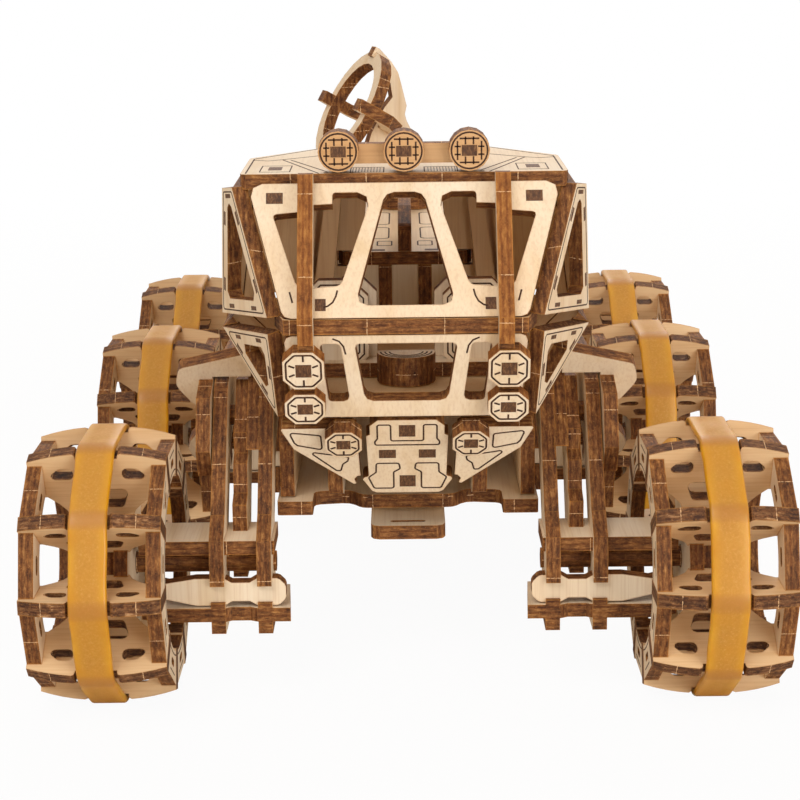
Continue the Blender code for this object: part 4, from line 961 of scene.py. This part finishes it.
# the lower front with the stacked lamps, and the windscreen
PANEL_HEAD = (RIDGE[0], RIDGE[1] - SHEET - GAP)
lower_front = front_plane(CHIN_TOP, PANEL_HEAD)
panel_length = up_slope(CHIN_TOP, PANEL_HEAD)[2]
on_both_sides(lower_front, strokes=[[(19.0, 24.4), (17.3, 23.6), (16.2, 22.0), (15.7, 19.6)]])
lamp_face(raised(lower_front, SHEET + GAP), 26.6, panel_length - 8.0, 10.8, 11.2, 2.8)
lamp_face(raised(lower_front, SHEET + GAP), 26.6, 5.4, 10.6, 9.2, 2.6)
windscreen = front_plane(RIDGE, BROW)
on_both_sides(windscreen, strokes=[[(17.6, 7.9), (18.0, 6.2), (18.8, 4.6), (20.1, 3.6), (21.2, 3.3)],
                                   [(30.0, 7.6), (29.2, 4.6)]],
              tabs=[box(31.9, 32.2, 36.3, 35.3), box(20.6, 2.3, 23.4, 5.6)])

# the leaning panels of the cab: a line inside their border, tab ends along their sides
SEAM_IN = 2.2               # from a panel's border to the middle of its tab ends
TAB_HALF, TAB_THIN = 1.9, 0.55
TWO_TABS = 24.0             # a side longer than this has two tabs
CORNERS = {"ridge": (35.9, -136.4, RIDGE[1]), "ridge_low": (35.9, -136.4, RIDGE[1] - 4.3),
           "brow": (45.5, -118.5, BROW[1] - 1.0), "chin": (34.3, -129.6, CHIN_TOP[1]),
           "waist": (50.6, -104.0, RIDGE[1] - 5.0), "waist_low": (50.6, -104.0, RIDGE[1] - 9.0),
           "hip": (50.6, -85.0, RIDGE[1] - 5.0), "eave": (45.9, -110.0, ROOF_TOP - 4.3),
           "eave_rear": (45.9, -84.0, ROOF_TOP - 4.3)}
for names in (("ridge", "waist", "eave", "brow"), ("waist", "hip", "eave_rear", "eave"),
              ("chin", "waist_low", "ridge_low")):
    points = [CORNERS[n] for n in names]
    place = panel_plane(points)
    flat = [flat_on(place, q) for q in points]
    seam = inset(flat, SEAM_IN)
    ends = []
    for i, corner in enumerate(seam):
        ahead = Vector(seam[(i + 1) % len(seam)]) - Vector(corner)
        along = ahead.normalized() * TAB_HALF
        aside = Vector((-ahead.y, ahead.x)).normalized() * TAB_THIN
        for share in (0.2, 0.8) if ahead.length > TWO_TABS else (0.5,):
            spot = Vector(corner) + ahead * share
            ends.append([tuple(spot + along * a + aside * b) for a, b in box(-1, -1, 1, 1)])
    in_pair(place, [soft(inset(flat, 1.1), 0.8)], tabs=ends, width=0.35)

# the roof, its lamps, and the deck
roof = plane((0, 0, ROOF_TOP), (1, 0, 0), (0, 1, 0))
roof_panels = [box(30.4, -114.2, 38.4, -101.4), box(5.4, -117.0, 14.2, -106.8), circle(20.6, -117.0, 0.5, 8)]
roof_lines = [[(41.9, -116.6), (41.9, -85.4), (24.6, -62.0)], [(33.9, -87.5), (22.6, -117.8)],
              [(31.4, -88.7), (20.4, -115.0)], [(41.9, -88.0), (37.7, -89.9), (33.9, -87.5), (8.0, -66.0)]]
hatch = [[(6.4 + 0.8 * k, -116.2), (6.4 + 0.8 * k, -107.6)] for k in range(10)]
on_both_sides(roof, roof_panels, roof_lines, [box(32.8, -110.6, 36.4, -104.0)], width=0.4)
on_both_sides(roof, strokes=hatch, width=0.16)
LAMP_Z, LAMP_RADIUS, LAMP_FRONT, LAMP_X = 152.07, 5.4, -119.9, (-17.2, 0.0, 17.2)
# bars of a lamp's grid, in shares of its reach: how far off its middle, and from where to where
UPRIGHT_BARS = ((0.66, -0.52, 0.52), (0.22, 0.33, 0.76), (0.22, -0.76, -0.33))
LEVEL_BARS = ((0.66, -0.54, 0.54), (0.22, 0.48, 0.82), (0.22, -0.82, -0.48))
reach = 0.88 * LAMP_RADIUS
bars = []
for way in (-reach, reach):
    bars += [[(off * way, low * reach), (off * way, high * reach)] for off, low, high in UPRIGHT_BARS]
    bars += [[(low * reach, off * way), (high * reach, off * way)] for off, low, high in LEVEL_BARS]
for x in LAMP_X:
    front = plane((x, LAMP_FRONT, LAMP_Z), (1, 0, 0), (0, 0, 1))
    DRAWN.append(engraving(front, [circle(0, 0, reach, 28)]))
    DRAWN.append(engraving(front, strokes=bars, width=0.42))
    TABS.append(inlay(box(-2.0, -1.4, 2.0, 1.4), front, PROUD * 2))
deck = plane((0, 0, DECK_TOP), (1, 0, 0), (0, 1, 0))
on_both_sides(deck, [soft(box(4.0, -47.0, 8.4, -39.0), 0.6), soft(box(10.0, -54.0, 17.6, -42.0), 0.8),
                     soft(box(5.0, -34.0, 26.0, -12.0), 2.0), soft(box(5.0, -6.0, 26.0, 20.0), 2.0),
                     soft(box(14.0, 26.0, 26.0, 60.0), 2.0), soft(box(5.0, 66.0, 26.0, 100.0), 2.0)],
              tabs=[box(6.0, -56.4, 10.6, -53.8), box(27.0, -22.0, 29.6, -10.0), box(27.0, 30.0, 29.6, 42.0),
                    box(27.0, 80.0, 29.6, 92.0)])

# the hull's windows and rear hatch, and the rockers' beams
HULL_HALF, HULL_REAR, WINDOW_PITCH = 30.0, 116.0, 30.54
hull_side = plane((HULL_HALF, 0, 0), (0, 1, 0), (0, 0, 1))
windows = [soft(box(-42.2 + WINDOW_PITCH * k, 84.7, -15.3 + WINDOW_PITCH * k, 105.8), 3.6) for k in range(5)]
in_pair(hull_side, windows,
        [[(-13.6 + WINDOW_PITCH * k, 88.0), (-13.6 + WINDOW_PITCH * k, 102.4)] for k in range(4)])
hull_back = plane((0, HULL_REAR, 0), (-1, 0, 0), (0, 0, 1))
DRAWN.append(engraving(hull_back, [octagon(0, 92.2, 34.8, 23.4, 4.8),
                                   soft(box(-25.0, 57.0, 25.0, 77.0), 2.5)],
                       [[(-20.0, 61.0), (20.0, 61.0)], [(-20.0, 73.0), (20.0, 73.0)]]))
beam = plane((LEG_PLATES[1] + SHEET, 0, 0), (0, 1, 0), (0, 0, 1))
body_y, body_z = -20.0, AXLE_Z + 34.4
bogie_y, bogie_z = 66.0, AXLE_Z + 23.4
in_pair(beam, [circle(body_y, body_z, 6.4), circle(bogie_y, bogie_z, 6.4),
               soft([(body_y + 11.0, body_z + 3.6), (body_y + 11.0, body_z - 5.4),
                     (bogie_y - 11.0, bogie_z - 4.4), (bogie_y - 11.0, bogie_z + 3.6)], 1.6)])

# seats and console
SEAT_FRONT, SEAT_X, SEAT_WIDE, SEAT_TALL = -104.0, 19.4, 18.2, 26.0
seat_place = plane((SEAT_X, SEAT_FRONT, CAB_FLOOR_TOP + 13.8), (1, 0, 0), (0, 0, 1))
seat_outline = octagon(0, 0, SEAT_WIDE, SEAT_TALL, 4.6)
seat = placed(dressed(board(seat_outline, (), -SHEET + 0.1, 0.0), FACE_UPRIGHT, EDGES["upright"]),
              seat_place)
show(joined([seat, flipped(seat)], "seat_backs"), "seat_backs", "body")
in_pair(seat_place, [inset(seat_outline, 1.3), inset(seat_outline, 2.6), box(-2.2, 4.6, 2.2, 7.4)])
console = plane((0, -112.0, CAB_FLOOR_TOP + 8.3), (1, 0, 0), (0, 1, 0))
arcs = [[(r * cos(pi + pi * k / 12), r * sin(pi + pi * k / 12)) for k in range(13)] for r in (7.0, 5.8, 4.6)]
DRAWN.append(engraving(console, (), arcs))

show(joined(DRAWN, "engraved_lines"), "engraved_lines", "body")
show(joined(TABS, "tab_ends"), "tab_ends", "body")


# Camera, light and floor

SENSOR = 36.0
FRAME_PIXELS = 800
FOCAL_PIXELS = 1850
HORIZON_PIXELS = 473        # how far the horizon lies above the middle of the picture
CAMERA_PLACE = (-0.0003, -0.605, 0.2089)
CAMERA_ROLL = 0.7           # degrees
camera = bpy.data.cameras.new("camera")
camera.sensor_width = SENSOR
camera.lens = SENSOR * FOCAL_PIXELS / FRAME_PIXELS
camera.clip_start = 0.01
viewer = bpy.data.objects.new("camera", camera)
viewer.location = CAMERA_PLACE
viewer.rotation_euler = (radians(90) - atan(HORIZON_PIXELS / FOCAL_PIXELS), radians(CAMERA_ROLL), 0)
scene.collection.objects.link(viewer)
scene.camera = viewer

scene.view_settings.view_transform = "Standard"

# the studio is white where it is seen, in a reflection too, and throws a weak warm light
world = bpy.data.worlds.new("white_studio")
scene.world = world
world.use_nodes = True
air = world.node_tree
rays = add(air, "ShaderNodeLightPath")
seen = add(air, "ShaderNodeMath", {0: rays.outputs["Is Camera Ray"], 1: rays.outputs["Is Glossy Ray"]},
           operation="MAXIMUM")
seen_through = add(air, "ShaderNodeMath", {0: seen.outputs[0], 1: rays.outputs["Is Transmission Ray"]},
                   operation="MAXIMUM")
soft_light = add(air, "ShaderNodeBackground", {"Color": (1.0, 0.80, 0.60, 1.0), "Strength": 0.38})
white = add(air, "ShaderNodeBackground", {"Color": (1.0, 1.0, 1.0, 1.0), "Strength": 1.0})
chosen = add(air, "ShaderNodeMixShader",
             {0: seen_through.outputs[0], 1: soft_light.outputs[0], 2: white.outputs[0]})
air.links.new(chosen.outputs[0], air.nodes["World Output"].inputs[0])


def studio_lamp(name, place, aim, size, power, colour):
    light = bpy.data.lights.new(name, "AREA")
    light.shape = "SQUARE"
    light.size = size
    light.energy = power
    light.color = colour
    thing = bpy.data.objects.new(name, light)
    thing.location = place
    thing.rotation_euler = (Vector(aim) - Vector(place)).to_track_quat("-Z", "Y").to_euler()
    scene.collection.objects.link(thing)


FRONT_AIM = (0, -0.05, 0.08)
studio_lamp("key", (-0.4, -0.85, 1.0), FRONT_AIM, 0.7, 6.7, (1.0, 0.98, 0.95))
studio_lamp("fill", (0.7, -1.0, 0.25), FRONT_AIM, 0.8, 7.2, (1.0, 0.98, 0.96))
studio_lamp("back", (0.1, 1.0, 0.9), (0, 0.0, 0.08), 0.8, 5.0, (1.0, 0.98, 0.96))

# the floor is white to the camera and keeps a trace of the shadow near the model
FLOOR_HALF = 4.0
floor_mesh = bpy.data.meshes.new("floor")
floor_mesh.from_pydata([(x, y, 0) for x, y in box(-FLOOR_HALF, -FLOOR_HALF, FLOOR_HALF, FLOOR_HALF)], [],
                       [(0, 1, 2, 3)])
floor = bpy.data.objects.new("floor", floor_mesh)
scene.collection.objects.link(floor)
floor_finish, floor_tree, floor_shader = blank("pale_floor")
floor_shader.inputs["Base Color"].default_value = linear("#F4F2EE")
floor_shader.inputs["Roughness"].default_value = 0.9
paths = add(floor_tree, "ShaderNodeLightPath")
glow = add(floor_tree, "ShaderNodeEmission", {"Color": (1.0, 1.0, 1.0, 1.0), "Strength": 1.0})
from_middle = add(floor_tree, "ShaderNodeVectorMath",
                  {0: add(floor_tree, "ShaderNodeTexCoord").outputs["Object"]}, operation="LENGTH")
fade = add(floor_tree, "ShaderNodeMapRange", {"Value": from_middle.outputs["Value"], "From Min": 0.15,
                                              "From Max": 0.9, "To Min": 0.95, "To Max": 1.0})
share = add(floor_tree, "ShaderNodeMath", {0: paths.outputs["Is Camera Ray"], 1: fade.outputs["Result"]},
            operation="MULTIPLY")
mixed = add(floor_tree, "ShaderNodeMixShader",
            {0: share.outputs[0], 1: floor_shader.outputs[0], 2: glow.outputs[0]})
floor_tree.links.new(mixed.outputs[0], floor_tree.nodes["Material Output"].inputs[0])
floor_mesh.materials.append(floor_finish)
